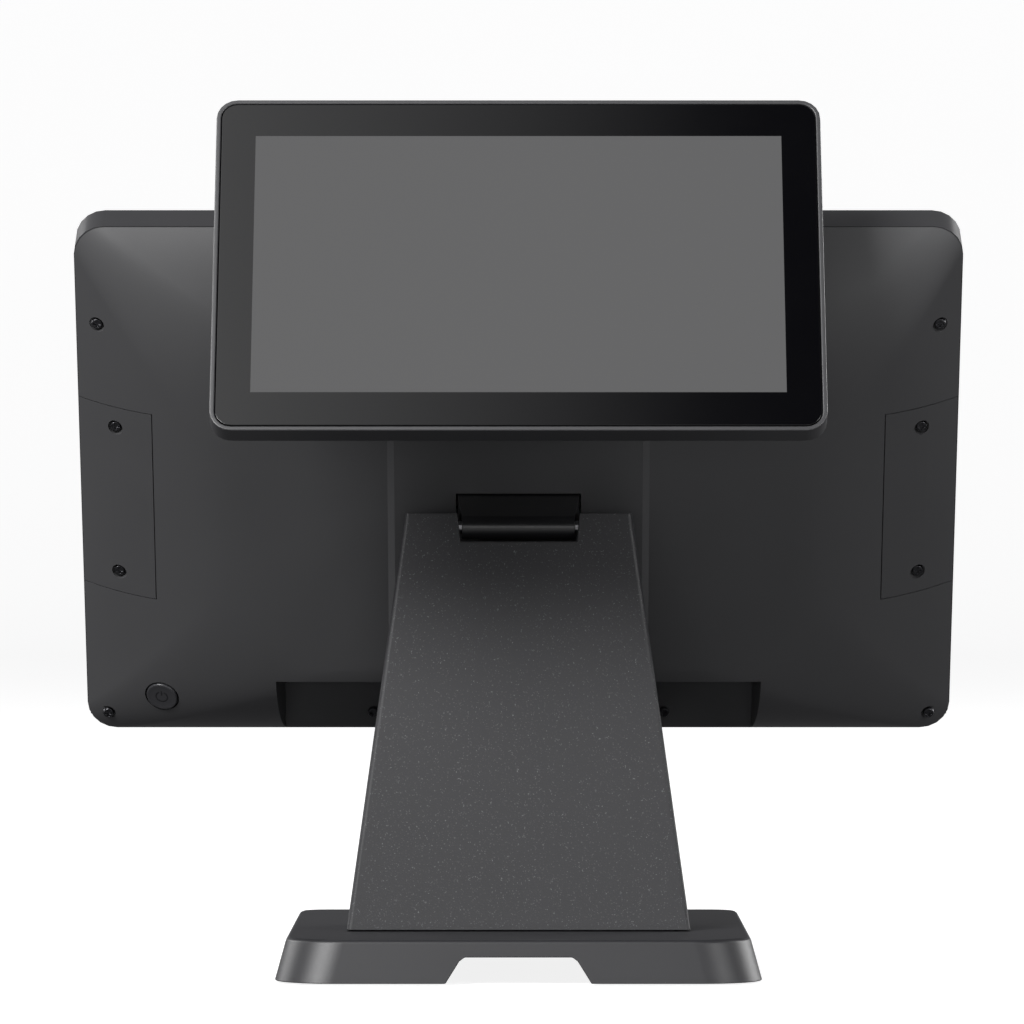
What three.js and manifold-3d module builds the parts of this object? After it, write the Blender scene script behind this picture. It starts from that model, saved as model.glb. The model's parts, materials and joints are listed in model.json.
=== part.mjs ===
// Countertop checkout terminal: a leaning touch display for the cashier on a tapered neck
// and a weighted base, with a second display for the customer carried on its back.
// Millimetres, +Z up. The cashier stands at +Y and the customer at -Y.
import * as THREE from 'three';
import { mergeVertices } from 'three/addons/utils/BufferGeometryUtils.js';
import Module from 'manifold-3d';

const wasm = await Module();
wasm.setup();

// ---------------------------------------------------------------- clearances
const FIT = 0.3;                  // between pieces that touch
const SHADOW_GAP = 0.4;           // visible line round a cover or a glass
const RUN = 0.7;                  // round pieces that turn
const PIN_FIT = 0.3;              // radial, round pins, shafts and screws
const THROUGH = 2;                // how far a cutting tool runs past what it cuts

// ---------------------------------------------------------------- main display head
const HEAD_WIDTH = 383;
const HEAD_HEIGHT = 244;
const HEAD_CORNER = 13;
const HEAD_LEAN = 26.2;           // degrees from vertical, top towards the customer
const HEAD_DROP = 2;              // head centre below the tilt axis
const RIM_DEPTH = 17;
const FRAME_WALL = 2.5;
const FRAME_LIP = 2.2;
const FRAME_LEDGE = 1.5;          // the glass is bonded to it
const GLASS = 1.8;
const VIEW_WIDTH = 344.2;
const VIEW_HEIGHT = 193.6;
const VIEW_RISE = 5;              // picture centre above the head centre
const VIEW_MARGIN = 3;
const LCD_BORDER = 7.5;
const LCD_DEPTH = 5;
const CHASSIS_SHEET = 1.2;
const CHASSIS_FLANGE = 6.5;
const CHASSIS_WINDOW = [34, 90];
const CHASSIS_WINDOW_X = 118;
const COVER_WALL = 2.5;
const DOME_RISE = 26;
const DOME_SLOPE = 40;            // degrees at the rim, on the sides and the top
const DOME_FOOT_SLOPE = 60;       // degrees at the rim, along the bottom
const CORNER_SOFTNESS = 0.5;
const SPINE_WIDTH = 107.6;
const SPINE_RISE = 3;
const SPINE_TOP_MARGIN = 22;      // from the top of the head

// ---------------------------------------------------------------- connector bay
const BAY_WIDTH = 215;
const BAY_HEIGHT = 36;
const BAY_DRAFT = 4;              // narrower at its floor, on each side
const BAY_FLOOR = 1.5;
const IO_WINDOW = 160;
const IO_SHEET = 1.2;
const PORT_DEPTH = 20;
const PORT_RECESS = 0.5;
const BOARD_WIDTH = 170;
const BOARD_HEIGHT = 70;
const BOARD = 1.6;
const BOARD_BEHIND_RIM = 1;
// name, centre along the board, width, height off the board, kind of mouth
const PORTS = [
  ['dc_jack', -68, 10, 11, 'round'],
  ['drawer_port', -51, 14, 13, 'jack'],
  ['serial_port', -24, 31, 12.5, 'pins'],
  ['lan_jack', 6, 16.5, 14, 'jack'],
  ['usb_stack', 28, 14.5, 16, 'double'],
  ['video_port', 52, 16, 6.5, 'single'],
];
const SPEAKER = [40, 11, 12];     // along X, Y, Z
const SPEAKER_X = 148;
const SINK_WIDTH = 60;
const SINK_HEIGHT = 42;
const SINK_BASE = 3;
const SINK_REACH = 16;
const SINK_FINS = 9;

// ---------------------------------------------------------------- covers and case screws
const SIDE_COVER_REACH = 33;      // from the side of the head
const SIDE_COVER_HEIGHT = 90;
const SIDE_COVER_DROP = 3.5;      // its centre below the head centre
const SIDE_COVER_WALL = 2.2;
const SIDE_SCREW_INSET = 16.5;
const SIDE_SCREW_PITCH = 70;
const SIDE_PORT = [18, 34];       // opening behind each side cover, along X and Z
const CASE_SCREW_INSET = 9.5;
const CASE_SCREW_ROWS = [78.7, -111.5];   // from the head centre
const BAY_SCREW_X = 64.5;
const BAY_SCREW_INSET = 9;
const SCREW_HEAD = 2.6;           // radius
const SCREW_HEAD_HEIGHT = 1.7;
const SCREW_SHANK = 1.5;          // radius
const SCREW_LENGTH = 10;
const POCKET = 3.3;               // radius of a screw pocket
const POST_WALL = 1.9;

// ---------------------------------------------------------------- power button
const BUTTON_X = -157.5;
const BUTTON_RISE = 24.3;         // above the bottom of the head
const BUTTON_RADIUS = 7;
const BUTTON_PROUD = 0.4;
const BUTTON_TRAVEL = 1;
const BUTTON_FLANGE = 1.4;

// ---------------------------------------------------------------- tilt hinge
const TILT_HEIGHT = 191;
const HINGE_REACH = 20;           // from the axis to the spine
const NOSE_RADIUS = 5.5;
const HINGE_COVER_WIDTH = 48.8;
const HINGE_COVER_FLARE = 2;      // wider at the head, on each side
const HINGE_COVER_WALL = 1.3;
const SHAFT_RADIUS = 2.5;
const SHAFT_INSET = 1;            // each end inside its friction hinge
const FRICTION_RADIUS = 3.7;
const FRICTION_LENGTH = 14;
const LEAF = 2;
const LEAF_DROP = 26;
const BARREL_ROOM = 0.1;          // from a friction hinge to the neck's walls at the top
const FRICTION_END_ROOM = 3.6;    // from a friction hinge to the neck's side wall

// ---------------------------------------------------------------- neck
const NECK_FOOT_WIDTH = 146.6;
const NECK_HEAD_FRONT = 12;
const NECK_FOOT_BACK = -35.5;     // rear face at the foot, from the tilt axis
const NECK_FOOT_FRONT = 14;
const NECK_CORNER = 2.2;
const NECK_WALL = 2.2;
const NECK_SEAM = 6;              // depth of the rear cover
const NOTCH_DRAFT = 1.4;          // wider at the top, on each side
const FOOT_FLANGE = 6;
const FOOT_HOLE = [52, 18];
const FOOT_SCREW_PITCH = [96, 20];
const CABLE_SLOT = [40, 18];
const CABLE_SLOT_HEIGHT = 66;

// ---------------------------------------------------------------- base
const BASE_WIDTH = 205;
const BASE_DEPTH = 228;
const BASE_TOP = 18.8;
const BASE_GROUND = 0.8;          // rim above the table
const BASE_DRAFT = 4.9;
const BASE_REAR = -97.5;          // rear edge from the tilt axis
const BASE_REAR_CORNER = 25;
const BASE_FRONT_CORNER = 12;
const BASE_BEVEL = 1;
const BASE_WALL = 3.5;
const ARCH_WIDTH = 61;
const ARCH_TOP_WIDTH = 47;
const ARCH_HEIGHT = 10.8;
const CHANNEL_PAST_HOLE = 68;     // the plate is open from the arch to well past the neck's cable hole
const PLATE = 2;
const PLATE_GROUND = 2.6;
const FOOT_RADIUS = 9;
const FOOT_INSET = 23;
const POST_INSET = 40;

// ---------------------------------------------------------------- second display
const SECOND_WIDTH = 256.3;
const SECOND_HEIGHT = 161.6;
const SECOND_CORNER = 9;
const SECOND_LEAN = 29.1;         // degrees from vertical, top towards the cashier
const SECOND_RIM = 9.2;
const SECOND_RISE = 12.8;
const SECOND_SLOPE = 50;
const SECOND_WALL = 2.2;
const SECOND_LIP = 2;
const SECOND_GLASS = 1.5;
const SECOND_LEDGE = 1.1;
const SECOND_VIEW = [222.7, 125.3];
const SECOND_LCD_BORDER = 6;
const SECOND_LCD_DEPTH = 2.6;
const SECOND_BOARD = [110, 60, 1.4];
const PIVOT_Y = -28;              // second tilt axis, in the head's frame
const PIVOT_Z = 86;
const PIVOT_TO_BACK = 15.7;
const PIVOT_BELOW_CENTRE = 32;
const KNUCKLE = 7;                // radius
const KNUCKLE_WIDTH = 24;
const SECOND_PIN = 3;             // radius
const SECOND_PLATE = [60, 34, 2.2];
const ARM_ROOT = [36, 62];        // lowest and highest on the spine
const ARM_PLATE = 3;
const ARM_WIDTH = 44;

// ---------------------------------------------------------------- places worked out
const FRONT_Y = HINGE_REACH + SPINE_RISE + DOME_RISE + RIM_DEPTH;
const RIM_Y = FRONT_Y - RIM_DEPTH;
const COVER_Y = RIM_Y - FIT;
const SPINE_Y = HINGE_REACH;
const HEAD_Z = -HEAD_DROP;
const HEAD_TOP = HEAD_Z + HEAD_HEIGHT / 2;
const HEAD_BOTTOM = HEAD_Z - HEAD_HEIGHT / 2;
const LEDGE_BACK = FRONT_Y - GLASS - FIT - FRAME_LEDGE;
const LCD_FRONT = LEDGE_BACK - FIT;
const LCD_BACK = LCD_FRONT - LCD_DEPTH;
const CHASSIS_FRONT = LCD_BACK - FIT;
const CHASSIS_BACK = CHASSIS_FRONT - CHASSIS_SHEET;
const BAY_CEILING = HEAD_BOTTOM + BAY_HEIGHT;
const BAY_FLOOR_Y = RIM_Y - BAY_FLOOR;
const IO_PLATE_Z = BAY_CEILING + COVER_WALL + FIT;
const BOARD_BACK = RIM_Y - BOARD_BEHIND_RIM - BOARD;
const BOARD_BOTTOM = IO_PLATE_Z + IO_SHEET + FIT;
const PORT_BACK = BOARD_BACK - FIT;
const SIDE_COVER_X = HEAD_WIDTH / 2 - SIDE_COVER_REACH;
const SIDE_COVER_Z = HEAD_Z - SIDE_COVER_DROP;
const SIDE_SCREW_X = HEAD_WIDTH / 2 - SIDE_SCREW_INSET;
const SIDE_POST_END = COVER_Y - FIT;
const CASE_SCREW_X = HEAD_WIDTH / 2 - CASE_SCREW_INSET;
const CASE_SEAT = RIM_Y - 4.5;
const BAY_SCREW_Z = HEAD_BOTTOM + BAY_SCREW_INSET;
const SCREW_BORE = SCREW_SHANK + PIN_FIT;
const NECK_FOOT = BASE_TOP + 0.5;
const BARREL_SHELL = FRICTION_RADIUS + NECK_WALL + BARREL_ROOM;
const NECK_TOP = TILT_HEIGHT + BARREL_SHELL;
const NECK_HEAD_BACK = -BARREL_SHELL;
const NOTCH_FLOOR = TILT_HEIGHT - NOSE_RADIUS - RUN;
const NOTCH_WIDTH = HINGE_COVER_WIDTH + 2 * (RUN + NOTCH_DRAFT);
const FRICTION_INNER = NOTCH_WIDTH / 2 + NECK_WALL + FIT;
const FRICTION_OUTER = FRICTION_INNER + FRICTION_LENGTH;
const SHAFT_LENGTH = 2 * (FRICTION_OUTER - SHAFT_INSET);
const NECK_HEAD_WIDTH = 2 * (FRICTION_OUTER + FRICTION_END_ROOM + NECK_WALL);
const BASE_CENTRE_Y = BASE_REAR + BASE_DEPTH / 2;
const BASE_CEILING = BASE_TOP - BASE_WALL;
const SECOND_BACK_Y = -PIVOT_TO_BACK;
const SECOND_RIM_Y = SECOND_BACK_Y - SECOND_RISE;
const SECOND_FACE_Y = SECOND_RIM_Y - SECOND_RIM;
const SECOND_LCD_FACE = SECOND_FACE_Y + SECOND_GLASS + FIT + SECOND_LEDGE + FIT;

// ---------------------------------------------------------------- shape tools
const radians = THREE.MathUtils.degToRad;

function solidOf(geometry) {
  const bare = geometry.clone();
  bare.deleteAttribute('normal');
  bare.deleteAttribute('uv');
  const merged = mergeVertices(bare, 1e-4);
  return new wasm.Manifold(new wasm.Mesh({
    numProp: 3,
    vertProperties: Float32Array.from(merged.getAttribute('position').array),
    triVerts: Uint32Array.from(merged.getIndex().array),
  }));
}

function geometryOf(solid) {
  const { vertProperties, triVerts } = solid.getMesh();
  const geometry = new THREE.BufferGeometry();
  geometry.setAttribute('position', new THREE.BufferAttribute(Float32Array.from(vertProperties), 3));
  geometry.setIndex(new THREE.BufferAttribute(Uint32Array.from(triVerts), 1));
  geometry.computeVertexNormals();
  return geometry;
}

const cut = (solid, ...tools) => tools.reduce((left, tool) => left.subtract(tool), solid);
const join = (solid, ...others) => others.reduce((sum, other) => sum.add(other), solid);
const clip = (solid, ...limits) => limits.reduce((left, limit) => left.intersect(limit), solid);

const flat = (points) => points.map(([x, y]) => new THREE.Vector2(x, y));

// A block from its lowest to its highest corner.
function block(x0, x1, y0, y1, z0, z1) {
  const geometry = new THREE.BoxGeometry(x1 - x0, y1 - y0, z1 - z0);
  geometry.translate((x0 + x1) / 2, (y0 + y1) / 2, (z0 + z1) / 2);
  return solidOf(geometry);
}

// A round bar along 'x', 'y' or 'z', from one place on that axis to another.
function bar(axis, radius, from, to, centre = [0, 0, 0], sides = 16) {
  const geometry = new THREE.CylinderGeometry(radius, radius, to - from, sides);
  geometry.translate(0, (from + to) / 2, 0);
  if (axis === 'x') geometry.rotateZ(-Math.PI / 2);
  if (axis === 'z') geometry.rotateX(Math.PI / 2);
  geometry.translate(...centre);
  return solidOf(geometry);
}

// Outline with round corners. The radii run from the right top corner, counter-clockwise.
function roundedOutline(left, right, bottom, top, radii, steps = 5) {
  const corners = [
    [right, top, -1, -1], [left, top, 1, -1], [left, bottom, 1, 1], [right, bottom, -1, 1]];
  return corners.flatMap(([x, y, inX, inY], i) => {
    const radius = Array.isArray(radii) ? radii[i] : radii;
    const start = i * Math.PI / 2;
    const centre = [x + inX * radius, y + inY * radius];
    return new THREE.EllipseCurve(...centre, radius, radius, start, start + Math.PI / 2).getPoints(steps);
  });
}

const extrusion = (outline, depth) =>
  new THREE.ExtrudeGeometry(new THREE.Shape(outline), { depth, bevelEnabled: false });

// An outline drawn in X and Z, made solid between two places along Y.
function slab(outline, back, front) {
  const geometry = extrusion(outline, front - back);
  geometry.rotateX(Math.PI / 2);
  geometry.translate(0, front, 0);
  return solidOf(geometry);
}

// An outline drawn in Y and Z, made solid between two places along X.
function profile(points, left, right) {
  const geometry = extrusion(flat(points), right - left);
  const turn = new THREE.Matrix4().makeBasis(
    new THREE.Vector3(0, 1, 0), new THREE.Vector3(0, 0, 1), new THREE.Vector3(1, 0, 0));
  geometry.applyMatrix4(turn);
  geometry.translate(left, 0, 0);
  return solidOf(geometry);
}

// An outline drawn in X and Y, made solid between two heights.
function tile(outline, low, high) {
  const geometry = extrusion(outline, high - low);
  geometry.translate(0, 0, low);
  return solidOf(geometry);
}

const rectangle = (width, height, x = 0, y = 0, radius = 1, steps = 2) =>
  roundedOutline(x - width / 2, x + width / 2, y - height / 2, y + height / 2, radius, steps);

// A solid skinned over a stack of outlines that have the same number of points.
function loft(rings) {
  const count = rings[0].length;
  const positions = rings.flat().flatMap((point) => point.toArray());
  const triangles = [];
  for (let k = 0; k < rings.length - 1; k += 1) {
    for (let i = 0; i < count; i += 1) {
      const next = (i + 1) % count;
      const [a, b] = [k * count + i, k * count + next];
      triangles.push(a, b, b + count, a, b + count, a + count);
    }
  }
  const last = (rings.length - 1) * count;
  for (let i = 1; i < count - 1; i += 1) {
    triangles.push(0, i + 1, i);
    triangles.push(last, last + i, last + i + 1);
  }
  const geometry = new THREE.BufferGeometry();
  geometry.setAttribute('position', new THREE.Float32BufferAttribute(positions, 3));
  geometry.setIndex(triangles);
  return solidOf(geometry);
}

// How far a pillow's arc has come in from the rim at a height above it.
function arcInset(rise, slope, height, skin) {
  const radius = rise / (1 - Math.cos(radians(slope)));
  const centreDrop = radius * Math.cos(radians(slope));
  const reach = Math.sqrt(Math.max((radius - skin) ** 2 - (height + centreDrop) ** 2, 0));
  return radius * Math.sin(radians(slope)) - reach;
}

// A pillow-shaped solid that bulges along one way of Y from its rim. The skin is how far
// its surface lies inside the named shape, or outside it where it is negative.
function pillow({ width, height, corner, rise, slope, footSlope, rimY, centreZ, way }, skin = 0, steps = 7) {
  const rings = [];
  for (let k = 0; k <= steps; k += 1) {
    const lift = (rise - skin) * Math.sin((k / steps) * Math.PI / 2);
    const side = arcInset(rise, slope, lift, skin);
    const foot = arcInset(rise, footSlope, lift, skin);
    const outline = roundedOutline(
      -width / 2 + side, width / 2 - side,
      centreZ - height / 2 + foot, centreZ + height / 2 - side,
      corner + CORNER_SOFTNESS * Math.max(side, 0));
    rings.push(outline.map(({ x, y }) => new THREE.Vector3(x, rimY + way * lift, y)));
  }
  return loft(way < 0 ? rings : rings.map((ring) => ring.reverse()));
}

// A cross-recessed pan screw whose head faces -Y. It seats at y = 0.
function screw(length = SCREW_LENGTH, head = SCREW_HEAD, shank = SCREW_SHANK) {
  const edge = head * 0.82;
  const outline = [
    [0, -SCREW_HEAD_HEIGHT], [edge, -SCREW_HEAD_HEIGHT], [head, -SCREW_HEAD_HEIGHT * 0.45],
    [head, 0], [shank, 0], [shank, length - shank], [0, length],
  ];
  const body = solidOf(new THREE.LatheGeometry(flat(outline), 12));
  const slot = head * 0.17;
  const arm = head * 0.62;
  const depth = SCREW_HEAD_HEIGHT * 0.6;
  const recess = join(
    block(-arm, arm, -SCREW_HEAD_HEIGHT - 1, -SCREW_HEAD_HEIGHT + depth, -slot, slot),
    block(-slot, slot, -SCREW_HEAD_HEIGHT - 1, -SCREW_HEAD_HEIGHT + depth, -arm, arm));
  return cut(body, recess);
}

// ---------------------------------------------------------------- finishes
const FINISHES = {
  blackShell: [0x2c2c2e, 0.55, 0.0],
  rimShell: [0x3a3a3c, 0.45, 0.0],
  paintedMetal: [0x303032, 0.6, 0.2],
  glass: [0x0b0b0c, 0.08, 0.0],
  panelMetal: [0x9a9ea2, 0.35, 0.9],
  zincSteel: [0xb4b6b8, 0.3, 0.95],
  screwSteel: [0x4c4d50, 0.3, 0.9],
  circuitBoard: [0x14482c, 0.5, 0.0],
  darkPolymer: [0x1a1a1b, 0.5, 0.0],
  rubber: [0x161616, 0.9, 0.0],
};

function add(group, name, solid, finish) {
  const [color, roughness, metalness] = FINISHES[finish];
  const material = new THREE.MeshStandardMaterial({ color, roughness, metalness });
  const mesh = new THREE.Mesh(geometryOf(solid), material);
  mesh.name = name;
  group.add(mesh);
  return mesh;
}

const mirrored = [['left', -1], ['right', 1]];

// ---------------------------------------------------------------- main head: shapes in common
const HEAD_PILLOW = {
  width: HEAD_WIDTH, height: HEAD_HEIGHT, corner: HEAD_CORNER, rise: DOME_RISE,
  slope: DOME_SLOPE, footSlope: DOME_FOOT_SLOPE, rimY: RIM_Y, centreZ: HEAD_Z, way: -1,
};
const behindRim = () => block(-HEAD_WIDTH, HEAD_WIDTH, -HEAD_HEIGHT, COVER_Y, -HEAD_HEIGHT, HEAD_HEIGHT);

function headOutline(inset) {
  return roundedOutline(
    -HEAD_WIDTH / 2 + inset, HEAD_WIDTH / 2 - inset,
    HEAD_BOTTOM + inset, HEAD_TOP - inset, HEAD_CORNER - inset);
}

// How far a place lies outside the rear cover's outline at a height above its rim.
function outsideCover(x, z, lift) {
  const side = arcInset(DOME_RISE, DOME_SLOPE, lift, 0);
  const foot = arcInset(DOME_RISE, DOME_FOOT_SLOPE, lift, 0);
  const radius = HEAD_CORNER + CORNER_SOFTNESS * side;
  const pastSide = Math.abs(x) - (HEAD_WIDTH / 2 - side - radius);
  const pastEnd = Math.max(z - (HEAD_TOP - side - radius), HEAD_BOTTOM + foot + radius - z);
  return Math.hypot(Math.max(pastSide, 0), Math.max(pastEnd, 0)) - radius;
}

// Where the rear cover's outer surface lies at a place on the head.
function coverSurfaceY(x, z) {
  let [low, high] = [0, DOME_RISE];
  for (let i = 0; i < 30; i += 1) {
    const middle = (low + high) / 2;
    if (outsideCover(x, z, middle) > 0) high = middle;
    else low = middle;
  }
  return RIM_Y - low;
}

const caseScrewPlaces = mirrored.flatMap(([side, way]) => CASE_SCREW_ROWS.map((row, i) => ({
  name: `case_screw_${i === 0 ? 'upper' : 'lower'}_${side}`, x: way * CASE_SCREW_X, z: HEAD_Z + row,
})));
const bayScrewPlaces = mirrored.map(([side, way]) => ({
  name: `case_screw_bay_${side}`, x: way * BAY_SCREW_X, z: BAY_SCREW_Z,
}));
const sideScrewPlaces = (way) => [1, -1].map((row) => ({
  x: way * SIDE_SCREW_X, z: SIDE_COVER_Z + row * SIDE_SCREW_PITCH / 2,
}));

// ---------------------------------------------------------------- main head: front
function frontFrame() {
  const shell = slab(headOutline(0), RIM_Y, FRONT_Y);
  const glassPocket = slab(headOutline(FRAME_LIP), FRONT_Y - GLASS - FIT, FRONT_Y + THROUGH);
  const hollow = slab(headOutline(FRAME_WALL), RIM_Y - THROUGH, LEDGE_BACK);
  const view = rectangle(
    VIEW_WIDTH + 2 * VIEW_MARGIN, VIEW_HEIGHT + 2 * VIEW_MARGIN, 0, HEAD_Z + VIEW_RISE);
  let frame = cut(shell, glassPocket, hollow, slab(view, LEDGE_BACK - THROUGH, FRONT_Y));
  const lugEnd = RIM_Y + 6.5;
  for (const { x, z } of caseScrewPlaces) {
    const way = Math.sign(x);
    const inner = way * (Math.abs(x) - SCREW_BORE - 0.6);
    const outer = way * (HEAD_WIDTH / 2 - FRAME_WALL / 2);
    const lug = block(Math.min(inner, outer), Math.max(inner, outer), RIM_Y, lugEnd, z - 3.5, z + 3.5);
    frame = cut(join(frame, lug), bar('y', SCREW_BORE, RIM_Y - 1, lugEnd + 1, [x, 0, z], 8));
  }
  for (const { x, z } of bayScrewPlaces) {
    const lug = block(x - 3.5, x + 3.5, RIM_Y, lugEnd, HEAD_BOTTOM + FRAME_WALL / 2, z + 3.5);
    frame = cut(join(frame, lug), bar('y', SCREW_BORE, RIM_Y - 1, lugEnd + 1, [x, 0, z], 8));
  }
  for (const way of [-1, 1]) {
    for (let i = -2; i <= 2; i += 1) {
      const x = way * SPEAKER_X + i * 5;
      const slotTop = HEAD_BOTTOM + FRAME_WALL + 1;
      frame = cut(frame, block(x - 0.8, x + 0.8, RIM_Y + 3, RIM_Y + 11, HEAD_BOTTOM - 1, slotTop));
    }
  }
  return frame;
}

function touchGlass() {
  return slab(headOutline(FRAME_LIP + SHADOW_GAP), FRONT_Y - GLASS, FRONT_Y);
}

function lcdPanel() {
  const [width, height] = [VIEW_WIDTH + 2 * LCD_BORDER, VIEW_HEIGHT + 2 * LCD_BORDER];
  return slab(rectangle(width, height, 0, HEAD_Z + VIEW_RISE), LCD_BACK, LCD_FRONT);
}

function chassisPlate() {
  const width = VIEW_WIDTH + 2 * LCD_BORDER;
  const top = HEAD_Z + VIEW_RISE + VIEW_HEIGHT / 2 + LCD_BORDER;
  const bottom = HEAD_Z + VIEW_RISE - VIEW_HEIGHT / 2 - LCD_BORDER;
  const back = CHASSIS_FRONT - CHASSIS_FLANGE;
  const channel = profile([
    [CHASSIS_FRONT, bottom], [CHASSIS_FRONT, top], [back, top], [back, top - CHASSIS_SHEET],
    [CHASSIS_BACK, top - CHASSIS_SHEET], [CHASSIS_BACK, bottom + CHASSIS_SHEET],
    [back, bottom + CHASSIS_SHEET], [back, bottom],
  ], -width / 2, width / 2);
  const windows = mirrored.map(([, way]) =>
    slab(rectangle(...CHASSIS_WINDOW, way * CHASSIS_WINDOW_X, HEAD_Z + VIEW_RISE, 6),
      CHASSIS_BACK - 1, CHASSIS_FRONT + 1));
  return cut(channel, ...windows);
}

// ---------------------------------------------------------------- main head: rear cover
function baySolid(grow) {
  const mouth = BAY_WIDTH / 2 + grow;
  const floor = mouth - BAY_DRAFT;
  const [low, high] = [HEAD_BOTTOM - THROUGH, BAY_CEILING + grow];
  const floorY = BAY_FLOOR_Y + (grow > 0 ? THROUGH : 0);
  const section = [
    [-mouth, SPINE_Y - THROUGH], [mouth, SPINE_Y - THROUGH], [floor, floorY], [-floor, floorY]];
  return tile(flat(section), low, high);
}

function spineSolid() {
  const [wide, narrow] = [SPINE_WIDTH / 2 + SPINE_RISE, SPINE_WIDTH / 2];
  const section = [[-narrow, SPINE_Y], [narrow, SPINE_Y], [wide, SPINE_Y + SPINE_RISE], [wide, COVER_Y],
    [-wide, COVER_Y], [-wide, SPINE_Y + SPINE_RISE]];
  const prism = tile(flat(section), BAY_CEILING, HEAD_TOP - SPINE_TOP_MARGIN);
  return clip(prism, pillow(HEAD_PILLOW, -SPINE_RISE));
}

function sidePocket(way, grow) {
  const inner = SIDE_COVER_X - grow;
  const outer = HEAD_WIDTH / 2 + THROUGH;
  const half = SIDE_COVER_HEIGHT / 2 + grow;
  const [x0, x1] = way < 0 ? [-outer, -inner] : [inner, outer];
  return block(x0, x1, SPINE_Y - THROUGH, RIM_Y + THROUGH, SIDE_COVER_Z - half, SIDE_COVER_Z + half);
}

function rearCover() {
  const inside = pillow(HEAD_PILLOW, COVER_WALL);
  const pocketFloor = pillow(HEAD_PILLOW, SIDE_COVER_WALL + FIT);
  const underPocket = pillow(HEAD_PILLOW, SIDE_COVER_WALL + FIT + COVER_WALL);
  let hollow = cut(inside, baySolid(COVER_WALL));
  for (const [, way] of mirrored) {
    hollow = cut(hollow, cut(sidePocket(way, COVER_WALL), underPocket));
  }
  const casing = cut(join(pillow(HEAD_PILLOW), spineSolid()), baySolid(0));
  let cover = cut(casing, hollow);

  // Side pockets, the opening and the two screw posts in each.
  for (const [, way] of mirrored) {
    cover = cut(cover, cut(sidePocket(way, 0), pocketFloor));
    const portX = way * (SIDE_SCREW_X + 1);
    const [halfX, halfZ] = [SIDE_PORT[0] / 2, SIDE_PORT[1] / 2];
    cover = cut(cover, block(portX - halfX, portX + halfX, 0, RIM_Y + THROUGH,
      SIDE_COVER_Z - halfZ, SIDE_COVER_Z + halfZ));
    for (const { x, z } of sideScrewPlaces(way)) {
      const surface = coverSurfaceY(x, z);
      const cup = POCKET + POST_WALL - 0.5 + FIT;
      const post = clip(bar('y', cup + POST_WALL, surface, SIDE_POST_END, [x, 0, z]), pocketFloor);
      cover = cut(join(cover, post),
        bar('y', cup, surface - 8, surface + 5 + FIT, [x, 0, z]),
        bar('y', SCREW_BORE, surface, SIDE_POST_END - 1, [x, 0, z], 8));
    }
  }

  // Pockets for the case screws, on posts that stand on the frame.
  for (const { x, z } of caseScrewPlaces) {
    const post = clip(bar('y', POCKET + POST_WALL, CASE_SEAT - 6, COVER_Y, [x, 0, z]), pillow(HEAD_PILLOW));
    cover = cut(join(cover, post),
      bar('y', POCKET, CASE_SEAT - 16, CASE_SEAT, [x, 0, z]),
      bar('y', SCREW_BORE, CASE_SEAT - 1, RIM_Y, [x, 0, z], 8));
  }
  for (const { x, z } of bayScrewPlaces) {
    cover = cut(cover, bar('y', SCREW_BORE, BAY_FLOOR_Y - 1, RIM_Y + 1, [x, 0, z], 8));
  }

  // Connector window, hinge slot and button hole.
  const windowFloor = BOARD_BACK + 0.4;
  cover = cut(cover,
    block(-IO_WINDOW / 2, IO_WINDOW / 2, PORT_BACK - 17, windowFloor, BAY_CEILING - 1, IO_PLATE_Z));
  const slotHalf = HINGE_COVER_WIDTH / 2 + HINGE_COVER_FLARE + RUN;
  cover = cut(cover, block(
    -slotHalf, slotHalf, SPINE_Y - 1, SPINE_Y + 12, -NOSE_RADIUS - RUN, NOSE_RADIUS + RUN));
  cover = cut(cover,
    buttonTool(BUTTON_RADIUS + SHADOW_GAP, -6, COVER_WALL + 4),
    buttonTool(BUTTON_RADIUS + BUTTON_FLANGE + SHADOW_GAP, COVER_WALL, COVER_WALL + 10));
  return clip(cover, behindRim());
}

function sideCover(way) {
  const patch = cut(pillow(HEAD_PILLOW), pillow(HEAD_PILLOW, SIDE_COVER_WALL));
  let cover = clip(patch, sidePocket(way, -SHADOW_GAP), behindRim());
  for (const { x, z } of sideScrewPlaces(way)) {
    const surface = coverSurfaceY(x, z);
    const cup = clip(
      bar('y', POCKET + POST_WALL - 0.5, surface - 8, surface + 5, [x, 0, z]), pillow(HEAD_PILLOW));
    cover = cut(join(cover, cup),
      bar('y', POCKET, surface - 12, surface + 3, [x, 0, z]),
      bar('y', SCREW_BORE, surface, surface + 6, [x, 0, z], 8));
  }
  return cover;
}

// ---------------------------------------------------------------- main head: electronics
function motherboard() {
  const board = block(-BOARD_WIDTH / 2, BOARD_WIDTH / 2, BOARD_BACK, BOARD_BACK + BOARD,
    BOARD_BOTTOM, BOARD_BOTTOM + BOARD_HEIGHT);
  const holes = [-1, 1].flatMap((sideX) => [6, BOARD_HEIGHT - 6].map((rise) =>
    bar('y', 1.7, BOARD_BACK - 1, BOARD_BACK + BOARD + 1,
      [sideX * (BOARD_WIDTH / 2 - 6), 0, BOARD_BOTTOM + rise], 8)));
  return cut(board, ...holes);
}

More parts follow.
